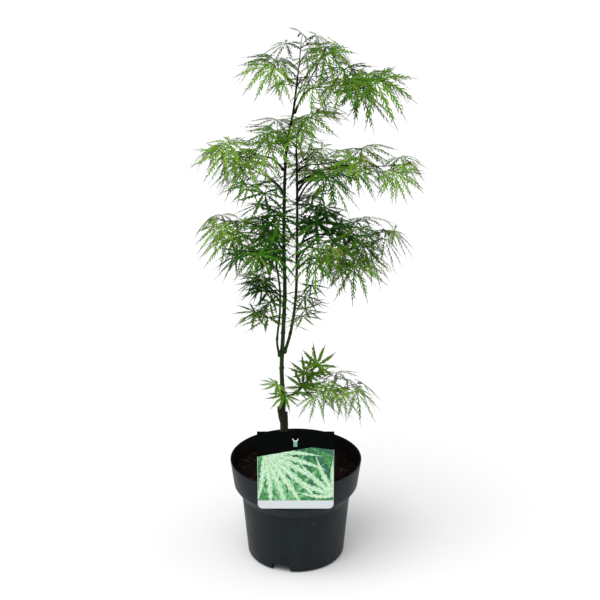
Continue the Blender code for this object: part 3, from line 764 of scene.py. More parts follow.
# %% Card sizes
card_low, card_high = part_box("label")
CARD_FRONT = card_low.y
CARD_THICKNESS = 0.8 * MM
CARD_CORNER = 7 * MM
CARD_SMOOTH = math.radians(30)
TONGUE_SIDE = 13 * MM
TONGUE_DROP = 15 * MM
HOLE_HEIGHT = 229 * MM
HOLE_RADIUS = 3.0 * MM
PANEL_SIDE = 52.1 * MM
PANEL_FOOT = 131.6 * MM
PANEL_LEFT_TOP = 199 * MM
PANEL_PEAK = (22 * MM, 213.4 * MM)
PANEL_RIGHT_TOP = 209.3 * MM
INK = 0.03 * MM
SLEEVE = 0.05 * MM
LAP = 0.2 * MM
card_size = card_high - card_low
print("card is", round(card_size.x / MM), "by", round(card_size.z / MM))


def box_between(low, high):
    """A box between two corners, made from a cube."""
    middle = (Vector(low) + Vector(high)) / 2
    made = add_primitive(bpy.ops.mesh.primitive_cube_add, size=1, location=middle)
    made.scale = Vector(high) - Vector(low)
    apply_all(made)
    return made


def punch_hole(piece, radius):
    """Punches the hanging hole through a piece."""
    across = {"location": (0, CARD_FRONT, HOLE_HEIGHT), "rotation": (math.pi / 2, 0, 0)}
    punch = add_primitive(
        bpy.ops.mesh.primitive_cylinder_add, vertices=40, radius=radius, depth=4 * MM, **across
    )
    apply_all(punch)
    cut_with(piece, punch, "DIFFERENCE")


# %% Card body
card_back = CARD_FRONT + CARD_THICKNESS
card_top_right = (card_high.x, card_back, card_high.z - SLEEVE)
card = box_between((card_low.x, CARD_FRONT, card_low.z), card_top_right)
with editing(card):
    bpy.ops.mesh.select_all(action="DESELECT")
for edge in card.data.edges:
    ends = [card.data.vertices[index].co for index in edge.vertices]
    edge.select = all(end.z < card_low.z + MM for end in ends) and abs(ends[0].y - ends[1].y) > 0
bpy.ops.object.mode_set(mode="EDIT")
bpy.ops.mesh.bevel(offset=CARD_CORNER, segments=8, affect="EDGES")
bpy.ops.object.mode_set(mode="OBJECT")
hook_level = POT_TOP + GAP
leg_front = card_high.y - CARD_THICKNESS
tongue = (
    ((card_back - LAP, hook_level), hook_level + CARD_THICKNESS),
    ((leg_front, hook_level - TONGUE_DROP), hook_level + LAP),
)
for (front, foot), top in tongue:
    stretch = box_between((-TONGUE_SIDE, front, foot), (TONGUE_SIDE, card_high.y, top))
    cut_with(card, stretch, "UNION")
punch_hole(card, HOLE_RADIUS)
add_modifier(card, "BEVEL", width=0.12 * MM, segments=2, limit_method="ANGLE")
apply_all(card)
card_white = make_ink("card_white", "D2D8DC")
hand_over(card, "label_card", card_white, ["label"], CARD_SMOOTH)

# %% Card head and panel
PANEL_CORNERS = (
    (-PANEL_SIDE, PANEL_FOOT),
    (PANEL_SIDE, PANEL_FOOT),
    (PANEL_SIDE, PANEL_RIGHT_TOP),
    PANEL_PEAK,
    (-PANEL_SIDE, PANEL_LEFT_TOP),
)
head_side = card_high.x + SLEEVE
HEAD_CORNERS = (
    (-head_side, PANEL_LEFT_TOP),
    PANEL_PEAK,
    (head_side, PANEL_RIGHT_TOP),
    (head_side, card_high.z),
    (-head_side, card_high.z),
)


def plate(corners, front, thickness):
    """A flat plate from (x, z) corners, with its front at a place along Y."""
    verts = [Vector((x, front, z)) for x, z in corners]
    piece = from_shapes("plate", [(verts, [tuple(range(len(verts)))])])
    add_modifier(piece, "SOLIDIFY", thickness=thickness, offset=-1)
    apply_all(piece)
    return piece


matt_black = make_ink("ink_head", "030505", roughness=0.8, coat=0.0, shine=0.04)
head = plate(HEAD_CORNERS, CARD_FRONT - INK, CARD_THICKNESS + 2 * INK)
punch_hole(head, HOLE_RADIUS - SLEEVE)
hand_over(head, "label_head", matt_black)
panel = plate(PANEL_CORNERS, CARD_FRONT - INK, INK / 2)
hand_over(panel, "label_panel", make_ink("ink_ground", "19672D", "52A05D"))

# %% Fans of blades
# A fan's foot (x, z), the first and last heading in degrees, the number of blades, and the middle
# blade's length and half width. Lengths are in millimetres.
Fan = namedtuple("Fan", "x z first last blades length half_width")
FANS = (Fan(-44, 204, -98, -3, 8, 106, 4.5), Fan(57, 139, 96, 174, 5, 74, 3.9))
SHADE_FANS = (Fan(4, 224, -132, -26, 5, 108, 6.0),)
MIST_FANS = (Fan(-12, 124, 30, 136, 6, 96, 3.4),)
OUTER_BLADE = 0.76
BLADE_TEETH = 9
BLADE_BOW = 3.5
BLADE_STEP = 0.3
FAN_STEP = 10 * BLADE_STEP


def blade(foot, heading, length, half_width, teeth):
    """The outline of one lance-shaped blade with a bowed midrib and forward teeth."""
    turn = math.radians(heading)
    along = Vector((math.cos(turn), 0, math.sin(turn)))
    across = Vector((-math.sin(turn), 0, math.cos(turn)))
    upper = []
    lower = []
    steps = 2 * BLADE_TEETH
    for step in range(steps + 1):
        t = step / steps
        half = half_width * math.sin(math.pi * t**0.75) * (1 + teeth * (step % 2 - 0.5))
        place = foot + (along * length * t + across * BLADE_BOW * math.sin(math.pi * t)) * MM
        upper.append(place + across * half * MM)
        lower.append(place - across * half * MM)
    return upper + lower[-2:0:-1]


def fan_layer(fans, height, width, teeth):
    """The blades of the fans as flat shapes, each blade a hair in front of the last."""
    shapes = []
    for index, fan in enumerate(fans):
        for row in range(fan.blades):
            share = row / (fan.blades - 1)
            heading = mix(fan.first, fan.last, share)
            size = mix(OUTER_BLADE, 1, math.sin(math.pi * share))
            front = CARD_FRONT - INK * (height + BLADE_STEP * row + FAN_STEP * index)
            foot = Vector((fan.x * MM, front, fan.z * MM))
            half_width = fan.half_width * size * width
            outline = blade(foot, heading, fan.length * size, half_width, teeth)
            shapes.append((outline, [tuple(range(len(outline)))]))
    return shapes


def clip_to_panel(piece):
    """Cuts away what lies outside the panel's sides, with one bisect for each side."""
    corners = [Vector((x, 0, z)) for x, z in PANEL_CORNERS]
    with editing(piece):
        for start, end in zip(corners, corners[1:] + corners[:1]):
            along = (end - start).normalized()
            outward = {"plane_co": start, "plane_no": (along.z, 0, -along.x)}
            bpy.ops.mesh.select_all(action="SELECT")
            bpy.ops.mesh.bisect(**outward, clear_outer=True, use_fill=False)


# Each layer's fans, its height above the sheet in ink layers, its share of the blades' width, the
# depth of its teeth, and its two ink colours
PRINTS = (
    ("label_shades", SHADE_FANS, 1.5, 1.0, 0.3, "16532C", "2A7459"),
    ("label_mist", MIST_FANS, 3.5, 1.0, 0.4, "529E5E", "88C691"),
    ("label_blades", FANS, 6, 1.0, 0.45, "93C896", "CFEAD2"),
    ("label_hearts", FANS, 6.15, 0.6, 0.5, "8DC48B", "BFE1BE"),
    ("label_ribs", FANS, 6.2, 0.14, 0.0, "D0EAD2", "E6F5E8"),
)
for name, fans, height, share, teeth, first_ink, second_ink in PRINTS:
    print_layer = from_shapes(name, fan_layer(fans, height, share, teeth))
    clip_to_panel(print_layer)
    add_modifier(print_layer, "SOLIDIFY", thickness=INK / 20)
    apply_all(print_layer)
    hand_over(print_layer, name, make_ink(name + "_ink", first_ink, second_ink))

# %% Clip and loop
# A small teal clip hangs in the hole. The pale loop at its top is a painted highlight: a pale arc that
# stands for the glint on the hole's lower rim
CLIP_LOW = Vector((-2.9 * MM, CARD_FRONT - 1.0 * MM, 214.6 * MM))
CLIP_HIGH = Vector((2.5 * MM, CARD_FRONT - 0.1 * MM, 223 * MM))
CLIP_SMOOTH = 0.6
LOOP_RADIUS = 3.4 * MM
LOOP_WIRE = 0.75 * MM
LOOP_STEPS = 12
LOOP_SMOOTH = 1.0
clip = box_between(CLIP_LOW, CLIP_HIGH)
add_modifier(clip, "BEVEL", width=0.35 * MM, segments=3)
apply_all(clip)
teal = make_ink("teal_plastic", "6FA497")
hand_over(clip, "label_clip", teal, smooth_angle=CLIP_SMOOTH)
loop_middle = Vector((-0.2 * MM, CARD_FRONT - LOOP_WIRE, CLIP_HIGH.z + LOOP_RADIUS))
loop_places = []
for step in range(LOOP_STEPS + 1):
    turn = math.pi * (1 + step / LOOP_STEPS)
    loop_places.append(loop_middle + LOOP_RADIUS * Vector((math.cos(turn), 0, math.sin(turn))))
loop = tube(even_line(loop_places, LOOP_WIRE), 10)
# Painted highlight: the pale arc is the glint on the hole's lower rim, drawn as a loop of pale plastic
pale = make_ink("pale_plastic", "DDE3DF")
grow_piece("label_loop", [loop], pale, smooth_angle=LOOP_SMOOTH)

# %% [markdown]
# ## The tree's named sizes
# The tables are the tree's design: the trunk, the stems that fork off it, fifteen boughs in three
# tiers and a low one, and the masses of foliage at their tips. The seeds are those of the solid
# model, so the same rule puts every leaf where the solids have it.

# %% Trunk, stems and boughs
# The trunk's line from the soil to its top fork, and its radius there, in millimetres
TRUNK = (
    (-17, 0, 130.3, 4.5),
    (-18, 0, 170, 4.2),
    (-18.5, 0, 208, 4.2),
    (-18, 1, 238, 2.8),
    (-20, 1, 290, 2.6),
    (-17, -1, 355, 2.3),
    (-15, 0, 407, 2.1),
    (-16, 2, 479, 1.8),
    (-14, 0, 576, 1.4),
    (-10, 0, 619, 1.2),
    (-3, 0, 655, 1.0),
    (3, 0, 702, 0.8),
)
STUB_FOOT = Vector((-19.5, -0.5, 206)) * MM
STUB_TOP = Vector((-24.5, -1.5, 231)) * MM
STUB_RADIUS = 2.9 * MM
LUMP = ((-14.6, -0.5, 222), (-13.9, -0.5, 190), (-14.4, 0, 150))
LUMP_RADIUS = 3.0 * MM

# Stems that fork off the trunk: the line of each in millimetres, then its radius at foot and tip
Stem = namedtuple("Stem", "name carrier points thick thin")
LEFT_STEM_POINTS = ((-20, 0, 298), (-26, -5, 330), (-22, -6, 375), (-22, -6, 414), (-28, -6, 455))
RIGHT_STEM_POINTS = (
    (-20, 1, 303),
    (-9, 6, 334),
    (0, 7, 392),
    (2, 7, 479),
    (2, 7, 560),
    (1, 5, 604),
)
TOP_SHOOT_POINTS = ((-6, 0, 643), (1, -1, 659), (9, -1, 677))
STEMS = (
    Stem("left_stem", "trunk", LEFT_STEM_POINTS, 1.5, 0.9),
    Stem("right_stem", "trunk", RIGHT_STEM_POINTS, 2.0, 1.0),
    Stem("top_shoot", "trunk", TOP_SHOOT_POINTS, 1.0, 0.8),
)

# Boughs: height on the carrier, azimuth (0 right, 90 back), then reach, rise, arch and the radius at
# foot and tip in millimetres
Bough = namedtuple("Bough", "name carrier height azimuth reach rise arch thick thin")
BOUGHS = (
    Bough("top_right_bough", "top_shoot", 668, 358, 22, 20, 6, 0.8, 0.7),
    Bough("second_left_bough", "trunk", 574, 186, 26, 22, 5, 1.1, 0.8),
    Bough("second_upper_bough", "right_stem", 572, 345, 20, 12, 3, 1.0, 0.8),
    Bough("second_right_bough", "right_stem", 556, 356, 78, 26, 8, 1.3, 0.8),
    Bough("second_front_left_bough", "trunk", 544, 242, 42, 26, 6, 1.0, 0.8),
    Bough("second_front_right_bough", "right_stem", 545, 312, 40, 28, 6, 1.0, 0.8),
    Bough("second_back_left_bough", "trunk", 540, 128, 42, 20, 6, 1.0, 0.8),
    Bough("second_back_right_bough", "right_stem", 530, 58, 42, 22, 6, 1.0, 0.8),
    Bough("third_left_bough", "trunk", 462, 186, 36, 38, 8, 1.1, 0.8),
    Bough("third_right_bough", "right_stem", 468, 2, 60, 16, 8, 1.2, 0.8),
    Bough("third_middle_bough", "right_stem", 434, 338, 32, 20, 6, 1.0, 0.8),
    Bough("third_front_left_bough", "trunk", 440, 236, 38, 34, 6, 1.0, 0.8),
    Bough("third_front_right_bough", "right_stem", 450, 304, 38, 26, 6, 1.0, 0.8),
    Bough("third_back_left_bough", "trunk", 444, 124, 44, 24, 6, 1.0, 0.8),
    Bough("third_back_right_bough", "right_stem", 440, 56, 44, 24, 6, 1.0, 0.8),
    Bough("low_bough", "trunk", 244, 352, 32, 9, 2, 1.3, 0.9),
)

# %% Masses of foliage
# Masses: carrier (none for the bough of the mass's own name) and height on it (none where the mass
# grows on from the carrier's tip), azimuth and lift of its stem, length of stem, number of leaves,
# length of petiole and of leaf in millimetres, how far the leaves hang (0 upright, 1 hanging), and
# the rule's seed. The rest is its dressing: the number of finer twigs, the tint, the cut, and factors
# on how far the leaves hang and on their size
MASS_FIELDS = "name carrier height azimuth lift length leaves petiole leaf hang seed"
DRESS_FIELDS = " finer tint cut hanging scale"
Mass = namedtuple("Mass", MASS_FIELDS + DRESS_FIELDS, defaults=("fine", 1.0, 1.0))
MASSES = (
    Mass("crest_right", "top_shoot", None, 2, 60, 56, 3, 22, 56, 0.85, 16, 2, "olive"),
    Mass("crest", "trunk", None, 60, 80, 36, 3, 24, 50, 0.75, 54, 3, "olive"),
    Mass("crest_left", "trunk", 690, 176, 40, 30, 3, 26, 70, 0.75, 68, 1, "fresh", "fine", 1.0, 0.96),
    Mass("top_right", None, None, 2, 8, 62, 5, 28, 70, 0.8, 35, 3, "olive"),
    Mass("top_front", "trunk", 686, 300, 52, 22, 2, 24, 48, 0.8, 90, 0, "full", "tuft", 1.0, 0.6),
    Mass("top_back", "trunk", 666, 70, 34, 30, 3, 28, 58, 0.8, 26, 0, "full", "tuft", 1.0, 0.6),
    Mass("under_top", "right_stem", None, 350, 50, 44, 3, 24, 60, 0.6, 75, 7, "fresh"),
    Mass("second_left_high", "trunk", 606, 170, 45, 16, 2, 26, 62, 0.7, 40, 5, "olive"),
    Mass("second_left", None, None, 184, 6, 50, 5, 28, 62, 0.8, 23, 2, "young"),
    Mass("second_left_low", "trunk", 536, 178, 35, 28, 3, 26, 60, 0.7, 77, 0, "deep", "broad", 0.4, 0.8),
    Mass("second_left_under", "trunk", 512, 196, 40, 14, 2, 24, 52, 0.8, 77, 3, "deep", "broad", 0.4),
    Mass("second_upper", None, None, 350, 12, 56, 5, 28, 66, 0.7, 24, 3, "fresh"),
    Mass("second_right", None, None, 354, 4, 46, 5, 26, 56, 0.8, 57, 0, "young", "fine", 1.0, 0.92),
    Mass("second_right_low", "right_stem", 520, 8, 25, 16, 2, 24, 52, 0.7, 69, 1, "deep", "broad", 0.5),
    Mass("second_right_high", "right_stem", 582, 24, 30, 12, 2, 22, 46, 0.7, 22, 12, "fresh"),
    Mass("second_front_left", None, None, 246, 4, 30, 3, 28, 56, 0.8, 1, 0, "deep", "broad", 0.4, 0.8),
    Mass("second_front_right", None, None, 312, 8, 30, 3, 28, 58, 0.8, 76, 0, "full"),
    Mass("second_back_left", None, None, 126, 8, 30, 3, 28, 60, 0.8, 36, 1, "full"),
    Mass("second_back_right", None, None, 58, 8, 30, 3, 28, 60, 0.8, 73, 1, "full"),
    Mass("third_left", None, None, 186, 0, 44, 5, 28, 58, 0.8, 70, 0, "young", "fine", 1.0, 0.78),
    Mass("third_left_tip", "left_stem", None, 178, -18, 74, 5, 26, 60, 0.75, 79, 0, "fresh"),
    Mass("third_left_near", "trunk", 476, 168, 40, 14, 2, 24, 54, 0.8, 15, 4, "full", "broad", 0.5),
    Mass("third_left_low", "left_stem", 402, 190, 38, 16, 3, 24, 50, 0.8, 68, 9, "full", "broad", 0.4),
    Mass("third_right_near", "right_stem", 496, 12, 38, 20, 3, 26, 58, 0.7, 62, 7, "deep", "broad", 0.5),
    Mass("third_right", None, None, 2, 6, 40, 5, 28, 60, 0.8, 4, 5, "full"),
    Mass("third_middle", None, None, 342, 2, 50, 5, 26, 56, 0.8, 69, 3, "fresh"),
    Mass("third_front_left", None, None, 240, 4, 30, 3, 28, 60, 0.8, 46, 10, "deep", "broad", 0.6, 0.85),
    Mass("third_front_right", None, None, 305, 4, 30, 3, 28, 60, 0.8, 2, 3, "full"),
    Mass("third_back_left", None, None, 124, 4, 30, 3, 28, 62, 0.8, 4, 3, "fresh", "broad", 0.7),
    Mass("third_back_right", None, None, 58, 4, 30, 3, 28, 62, 0.8, 77, 10, "deep", "broad", 0.6),
    Mass("third_right_low", "right_stem", 390, 20, 30, 8, 2, 18, 36, 0.8, 2, 2, "full", "broad", 0.4),
    Mass("low_left", "left_stem", 358, 184, 45, 12, 1, 22, 52, 0.6, 81, 4, "full", "broad", 0.35),
    Mass("low_right", "right_stem", 358, 355, 38, 14, 2, 22, 40, 0.5, 68, 2, "fresh", "broad", 0.35),
    Mass("low_bough", "low_bough", None, 358, 16, 56, 5, 24, 56, 0.75, 90, 7, "fresh"),
    Mass("low_high", "low_bough", 251, 5, 52, 34, 2, 20, 46, 0.05, 17, 3, "fresh", "dense", 0.25, 0.8),
    Mass("low_front", "trunk", 250, 300, 24, 14, 2, 22, 46, 0.5, 31, 1, "fresh", "dense", 0.75, 0.68),
)

# %% Coarse lines
# The last two steps are in millimetres, as the tables are
TRUNK_STEP = 22 * MM
STEM_STEP = 18 * MM
BOUGH_STEP = 14
TWIG_STEP = 9
SIDE_TWIG_RADIUS = 0.85 * MM
PETIOLE_RADIUS = 0.55 * MM
TWIG_END_RADIUS = 1.2 * PETIOLE_RADIUS
BOUGH_SIDES = 6
TWIG_SIDES = 3


def stem_line(stem, lines):
    """A stem's line, from just clear of its carrier to its tip."""
    points = [Vector(point) * MM for point in stem.points]
    shares = [index / (len(points) - 1) for index in range(len(points))]
    radii = [mix(stem.thick, stem.thin, share) * MM for share in shares]
    return leave_carrier(smooth_line(points, radii, STEM_STEP), lines[stem.carrier])


def bough_line(bough, lines):
    """An arched limb that leaves its carrier at a height and reaches out along an azimuth."""
    start = place_at_height(lines[bough.carrier], bough.height * MM)
    reach = heading_of(bough.azimuth, 0) * bough.reach * MM + UP * bough.rise * MM
    pieces = max(4, round(bough.reach / BOUGH_STEP))
    points = []
    radii = []
    for piece in range(pieces + 1):
        t = piece / pieces
        points.append(start + reach * t + UP * 4 * bough.arch * MM * t * (1 - t))
        radii.append(mix(bough.thick, bough.thin, t) * MM)
    return leave_carrier(Line(points, radii), lines[bough.carrier])


def mass_stem(mass, lines):
    """The stem of a mass: it grows on from its carrier's tip, or leaves the carrier's side."""
    carrier = lines[mass.carrier or mass.name + "_bough"]
    end_heading = heading_of(mass.azimuth, mass.lift)
    if mass.height is None:
        heading = heading_at(carrier, -1)
        start = carrier.points[-1] + heading * GAP
        thick = carrier.radii[-1]
    else:
        heading = end_heading
        start = place_at_height(carrier, mass.height * MM)
        thick = SIDE_TWIG_RADIUS
    pieces = max(3, round(mass.length / TWIG_STEP))
    points = [start]
    for piece in range(pieces):
        way = heading.lerp(end_heading, (piece + 0.5) / pieces).normalized()
        points.append(points[-1] + way * mass.length * MM / pieces)
    radii = [thick + (TWIG_END_RADIUS - thick) * piece / pieces for piece in range(pieces + 1)]
    line = Line(points, radii)
    return line if mass.height is None else leave_carrier(line, carrier)


trunk_points = [Vector((x, y, z)) * MM for x, y, z, _ in TRUNK]
trunk_radii = [radius * MM for *_, radius in TRUNK]
lines = {"trunk": smooth_line(trunk_points, trunk_radii, TRUNK_STEP)}
for stem in STEMS:
    lines[stem.name] = stem_line(stem, lines)
for bough in BOUGHS:
    lines[bough.name] = bough_line(bough, lines)
twigs = {mass.name: mass_stem(mass, lines) for mass in MASSES}
print("limbs:", len(lines), "masses:", len(twigs))

# %% [markdown]
# ## Old wood at the foot
# A grafted maple stands on a rootstock that is older and thicker than the tree: rough, swollen
# where the graft was made, with the pruned stub of the rootstock beside it. It could be sculpted;
# here three tubes, of the trunk, the stub and a swelling on one side, are remeshed together with
# small voxels, which melts them into one skin, and clouds displace it for the bark's relief.

# %% Rootstock
FLARE_RADIUS = 3.6 * MM
FLARE_HEIGHT = 9 * MM
FLARE_RIBS = 5
RIB_SWELL = 0.45
GRAFT_HEIGHT = 236 * MM
GRAFT_SPREAD = 7 * MM
GRAFT_SWELL = 0.34
KNOT_SIZE = 9 * MM
KNOT_SWELL = 0.16
OLD_WOOD_TOP = 246 * MM
FOOT_SUNK = 3 * MM
FINE_STEP = 1.2 * MM
STUB_STEP = 1.5 * MM
STUB_BOW = Vector((0.8, 0, 0)) * MM
BARK_SMOOTH = math.radians(60)
trunk_foot = trunk_points[0]


def rootstock_swell(place, way):
    """Radius factor of the rootstock: root flare with ribs, knots and the graft's collar."""
    rise = max(place.z - trunk_foot.z, 0)
    ribs = 1 + RIB_SWELL * math.cos(FLARE_RIBS * math.atan2(way.y, way.x))
    flare = FLARE_RADIUS * math.exp(-rise / FLARE_HEIGHT) * ribs
    graft = GRAFT_SWELL * math.exp(-(((place.z - GRAFT_HEIGHT) / GRAFT_SPREAD) ** 2))
    knots = KNOT_SWELL * noise.noise(Vector((2 * way.x, 2 * way.y, place.z / KNOT_SIZE)))
    return 1 + flare / trunk_radii[0] + graft + knots


def stub_swell(place, way):
    """Radius factor of the stub, whose surface is uneven."""
    return 1 + 0.2 * noise.noise(place * 300)


def clip_line(line, low, high):
    """The stretch of a line between two heights."""
    kept = [(point, radius) for point, radius in zip(*line) if low <= point.z <= high]
    return Line([point for point, _ in kept], [radius for _, radius in kept])


fine_trunk = smooth_line(trunk_points, trunk_radii, FINE_STEP)
foot = clip_line(fine_trunk, 0, OLD_WOOD_TOP)
foot = Line([trunk_foot - UP * FOOT_SUNK, *foot.points], [foot.radii[0], *foot.radii])
stub_points = [STUB_FOOT, (STUB_FOOT + STUB_TOP) / 2 - STUB_BOW, STUB_TOP]
stub_radii = [STUB_RADIUS * share for share in (1.25, 0.9, 0.72)]
lump_points = [Vector(point) * MM for point in LUMP]
rootstock = from_shapes(
    "rootstock",
    [
        tube(foot, 32, rootstock_swell),
        tube(smooth_line(stub_points, stub_radii, STUB_STEP), 24, stub_swell),
        tube(smooth_line(lump_points, [LUMP_RADIUS] * 3, STUB_STEP), 24),
    ],
)
add_modifier(rootstock, "REMESH", mode="VOXEL", voxel_size=0.45 * MM)
displace(rootstock, 1.7 * MM, 0.9 * MM, 3, "NORMAL")
displace(rootstock, 5 * MM, 1.1 * MM, 2, "NORMAL")
apply_all(rootstock)
hand_over(rootstock, "rootstock_bark", old_bark, ["trunk"], BARK_SMOOTH)

# %% [markdown]
# ## Young wood
# Above the graft the trunk and its stems are smooth young wood with a ring at each pair of buds.
# Each limb is a fine tube whose radius swells at its rings and wavers a little between them. Every
# limb but the trunk starts inside its carrier with a small collar, as a branch does. The solid
# model's limbs are slimmer than the bark, the more so the higher they stand, so radii are made
# fuller by a factor that grows with the height.

# %% Bark of the young wood
# Bud rings: their spacing, the first one's place as a share of it, their width and their swell
RING_SPACING = 27 * MM
RING_START = 0.37
RING_WIDTH = 1.5 * MM
RING_SWELL = 0.28
COLLAR_SWELL = 0.55
LOW_SWELL = 1.12
HIGH_SWELL = 1.5
HIGH_WOOD = 680 * MM
COLLAR_LENGTH = 4 * MM
WAVER_SWELL = 0.10
WAVER_SCALE = 1 / (5 * MM)


def waver(place, way):
    """Radius factor of a surface that wavers a little."""
    return 1 + WAVER_SWELL * noise.noise(place * WAVER_SCALE + way * 1.4)


def grown_tube(line, sides, rooted, step=FINE_STEP):
    """A fine wavering tube along a line, with bud rings, and a collar at its foot if it is rooted."""
    fine = smooth_line(line.points, line.radii, step)
    total = 0.0
    radii = []
    for index, (point, radius) in enumerate(zip(*fine)):
        if index:
            total += (point - fine.points[index - 1]).length
        past = (total / RING_SPACING + RING_START) % 1 - 0.5
        ring = RING_SWELL * math.exp(-((past * RING_SPACING / RING_WIDTH) ** 2))
        collar = COLLAR_SWELL * math.exp(-total / COLLAR_LENGTH) if rooted else 0.0
        radii.append(radius * (1 + ring + collar))
    return tube(Line(fine.points, radii), sides, waver)


def rooted_line(line, carrier):
    """The line with one more point at its foot, on the axis of its carrier."""
    foot = line.points[0]
    nearest = min(carrier.points, key=lambda point: (point - foot).length)
    inward = (nearest - foot).normalized()
    away, radius, along = nearest_on(carrier, foot)
    start = foot + (inward - along * inward.dot(along)).normalized() * min(away, radius + GAP)
    return Line([start, *line.points], [line.radii[0], *line.radii])


def swollen(line):
    """The line with fuller radii, the more so the higher it stands."""
    radii = []
    for point, radius in zip(*line):
        share = (point.z - GRAFT_HEIGHT) / (HIGH_WOOD - GRAFT_HEIGHT)
        radii.append(radius * mix(LOW_SWELL, HIGH_SWELL, share))
    return Line(line.points, radii)


def limb_tubes(limbs, sides):
    """A tube for each limb of a table, rooted in its carrier."""
    rooted = [rooted_line(lines[limb.name], lines[limb.carrier]) for limb in limbs]
    return [grown_tube(swollen(line), sides, True) for line in rooted]


upper = clip_line(fine_trunk, GRAFT_HEIGHT - 4 * MM, 1)
shapes = [grown_tube(swollen(upper), 16, False), *limb_tubes(STEMS, 12)]
stem_nodes = [stem.name for stem in STEMS]
grow_piece("stem_bark", shapes, green_bark, stem_nodes, BARK_SMOOTH)
bough_nodes = [bough.name for bough in BOUGHS]
grow_piece("bough_bark", limb_tubes(BOUGHS, 9), twig_bark, bough_nodes, BARK_SMOOTH)

# %% [markdown]
# ## Growing the leaves
# Maples carry their leaves in opposite pairs, each on a long thin stalk, with one leaf or a pair at
# the twig's tip. The rule walks down a mass's twig, tries a stalk and a leaf at each node with the
# mass's own seeded dice, and keeps the first try that touches nothing already grown. After many
# tries a leaf may touch its own mass's twig and leaves, but nothing else. The try is a coarse star
# of lobes, held in a tree of its faces that answers overlap questions quickly. It is the solid
# model's rule, so hubs, headings, sizes and droop come out the same as there.

# %% Coarse leaves for the rule
LOBES = 7
LOBES_ON_SMALL = 5
SMALL_LEAF = 58 * MM
LOBE_FAN = math.radians(128)
LOBE_BEND = 0.46
LOBE_HALF_WIDTH = 0.088
LOBE_THICKNESS = 0.9 * MM
HUB_THICKNESS = 1.5 * MM
SINUS = 0.15
SINUS_DROOP = 0.25
LOBE_BACK_SHARE = 0.42
MIDDLE_DROOP = 0.25
TIP_DROOP = 0.8
PETIOLE_LEVEL = 0.3
PETIOLE_CLIMB = 0.12
PETIOLE_SINK = 0.2 * MM
NODE_RUN = 0.9
LEAF_SPREAD = (40, 85)
LEAF_TILT = (-16, 16)
CROSSED_TILT = 45
PETIOLE_SPAN = (0.75, 1.25)
LEAF_SPAN = (0.88, 1.08)
HANG_SPAN = (0.6, 1.05)
PITCH_UP = 0.9
PITCH_HANG = 1.5
PITCH_SPREAD = 0.3
TIP_LEAF = 0.8
TRIES = 60
FREE_TRIES = 48


def lobe_way(start_way, droop, share):
    """The heading of a drooping lobe at a share of its length."""
    return start_way.lerp(-UP, droop * share).normalized()


def star_leaf(hub, outward, length, droop, room=0.0):
    """A closed star of drooping lobes round a hub, thickened by room for a clearance test."""
    side = outward.cross(UP).normalized()
    normal = side.cross(outward).normalized()
    half_hub = HUB_THICKNESS / 2 + room
    thickness = LOBE_THICKNESS + room
    verts = [hub + normal * half_hub, hub - normal * half_hub]
    faces = []
    lobes = LOBES_ON_SMALL if length < SMALL_LEAF else LOBES
    turns = [LOBE_FAN * (2 * lobe / (lobes - 1) - 1) for lobe in range(lobes)]
    step = turns[1] - turns[0]
    for turn in turns:
        notch = turn - step / 2
        start_way = math.cos(notch) * outward + math.sin(notch) * side
        if turn == turns[0]:
            start_way = -outward
        verts.append(hub + (start_way * SINUS - UP * SINUS_DROOP * SINUS * droop) * length)
    for lobe, turn in enumerate(turns):
        start_way = math.cos(turn) * outward + math.sin(turn) * side
        reach = length * (1 - LOBE_BACK_SHARE * (abs(turn) / LOBE_FAN) ** 2)
        middle_way = lobe_way(start_way, droop, MIDDLE_DROOP)
        middle = hub + middle_way * reach * LOBE_BEND
        tip_way = lobe_way(start_way, droop, TIP_DROOP)
        tip = middle + tip_way * (reach * (1 - LOBE_BEND) + room)
        across = middle_way.cross(normal).normalized()
        lift = across.cross(middle_way).normalized()
        half_width = LOBE_HALF_WIDTH * length + room
        first = len(verts)
        verts += [middle - across * half_width, tip, middle + across * half_width]
        verts.append(middle + lift * thickness)
        left, point, right, ridge = range(first, first + 4)
        before = 2 + lobe
        after = 2 + (lobe + 1) % lobes
        rim = (0, before, left, point, right, after)
        faces += [(ridge, rim[corner], rim[(corner + 1) % 6]) for corner in range(6)]
        faces += [(left, right, point), (before, right, left)]
        faces += [(before, after, right), (1, after, before)]
    return verts, faces


# %% Leaf stalks
def sideways(heading, azimuth, side, spread, tilt):
    """A heading turned by a spread to one side of a twig, in a plane that is tilted."""
    lateral = heading_of(azimuth + 90, 0) * side * math.cos(tilt) + UP * math.sin(tilt)
    return heading * math.cos(spread) + lateral * math.sin(spread)


def petiole_line(start, way, length):
    """A leaf stalk that sets off along its way and levels out."""
    level = Vector((way.x, way.y, way.z * PETIOLE_LEVEL)).normalized()
    middle = start + way * length * 0.5
    return even_line([start, middle, middle + level * length * 0.5], PETIOLE_RADIUS)


# %% Trees for overlap tests
def tree_of(shape):
    """A search tree of a shape's faces."""
    return BVHTree.FromPolygons(shape[0], shape[1])


def limb_tree(line, sides):
    """A limb or a twig with the gap round it."""
    wider = Line(line.points, [radius + GAP for radius in line.radii])
    return tree_of(tube(wider, sides))


def stalk_tree(stalk):
    """The outer part of a stalk, clear of the node it springs from."""
    start = stalk.points[0].lerp(stalk.points[1], 0.5)
    outer = even_line([start, *stalk.points[1:]], PETIOLE_RADIUS + GAP)
    return tree_of(tube(outer, TWIG_SIDES))


# %% Leaves on a twig
def nodes_on(stem, leaves):
    """Where leaves leave a stem: pairs from the tip backwards, and one on the tip if they are odd."""
    pairs = leaves // 2
    length = len(stem.points) - 1
    for pair in range(pairs):
        share = 1 - NODE_RUN * pair / pairs
        index = max(1, round(share * length))
        yield stem.points[index], heading_at(stem, index), pair, (-1, 1)
    if leaves % 2:
        yield stem.points[-1], heading_at(stem, -1), pairs, (0,)


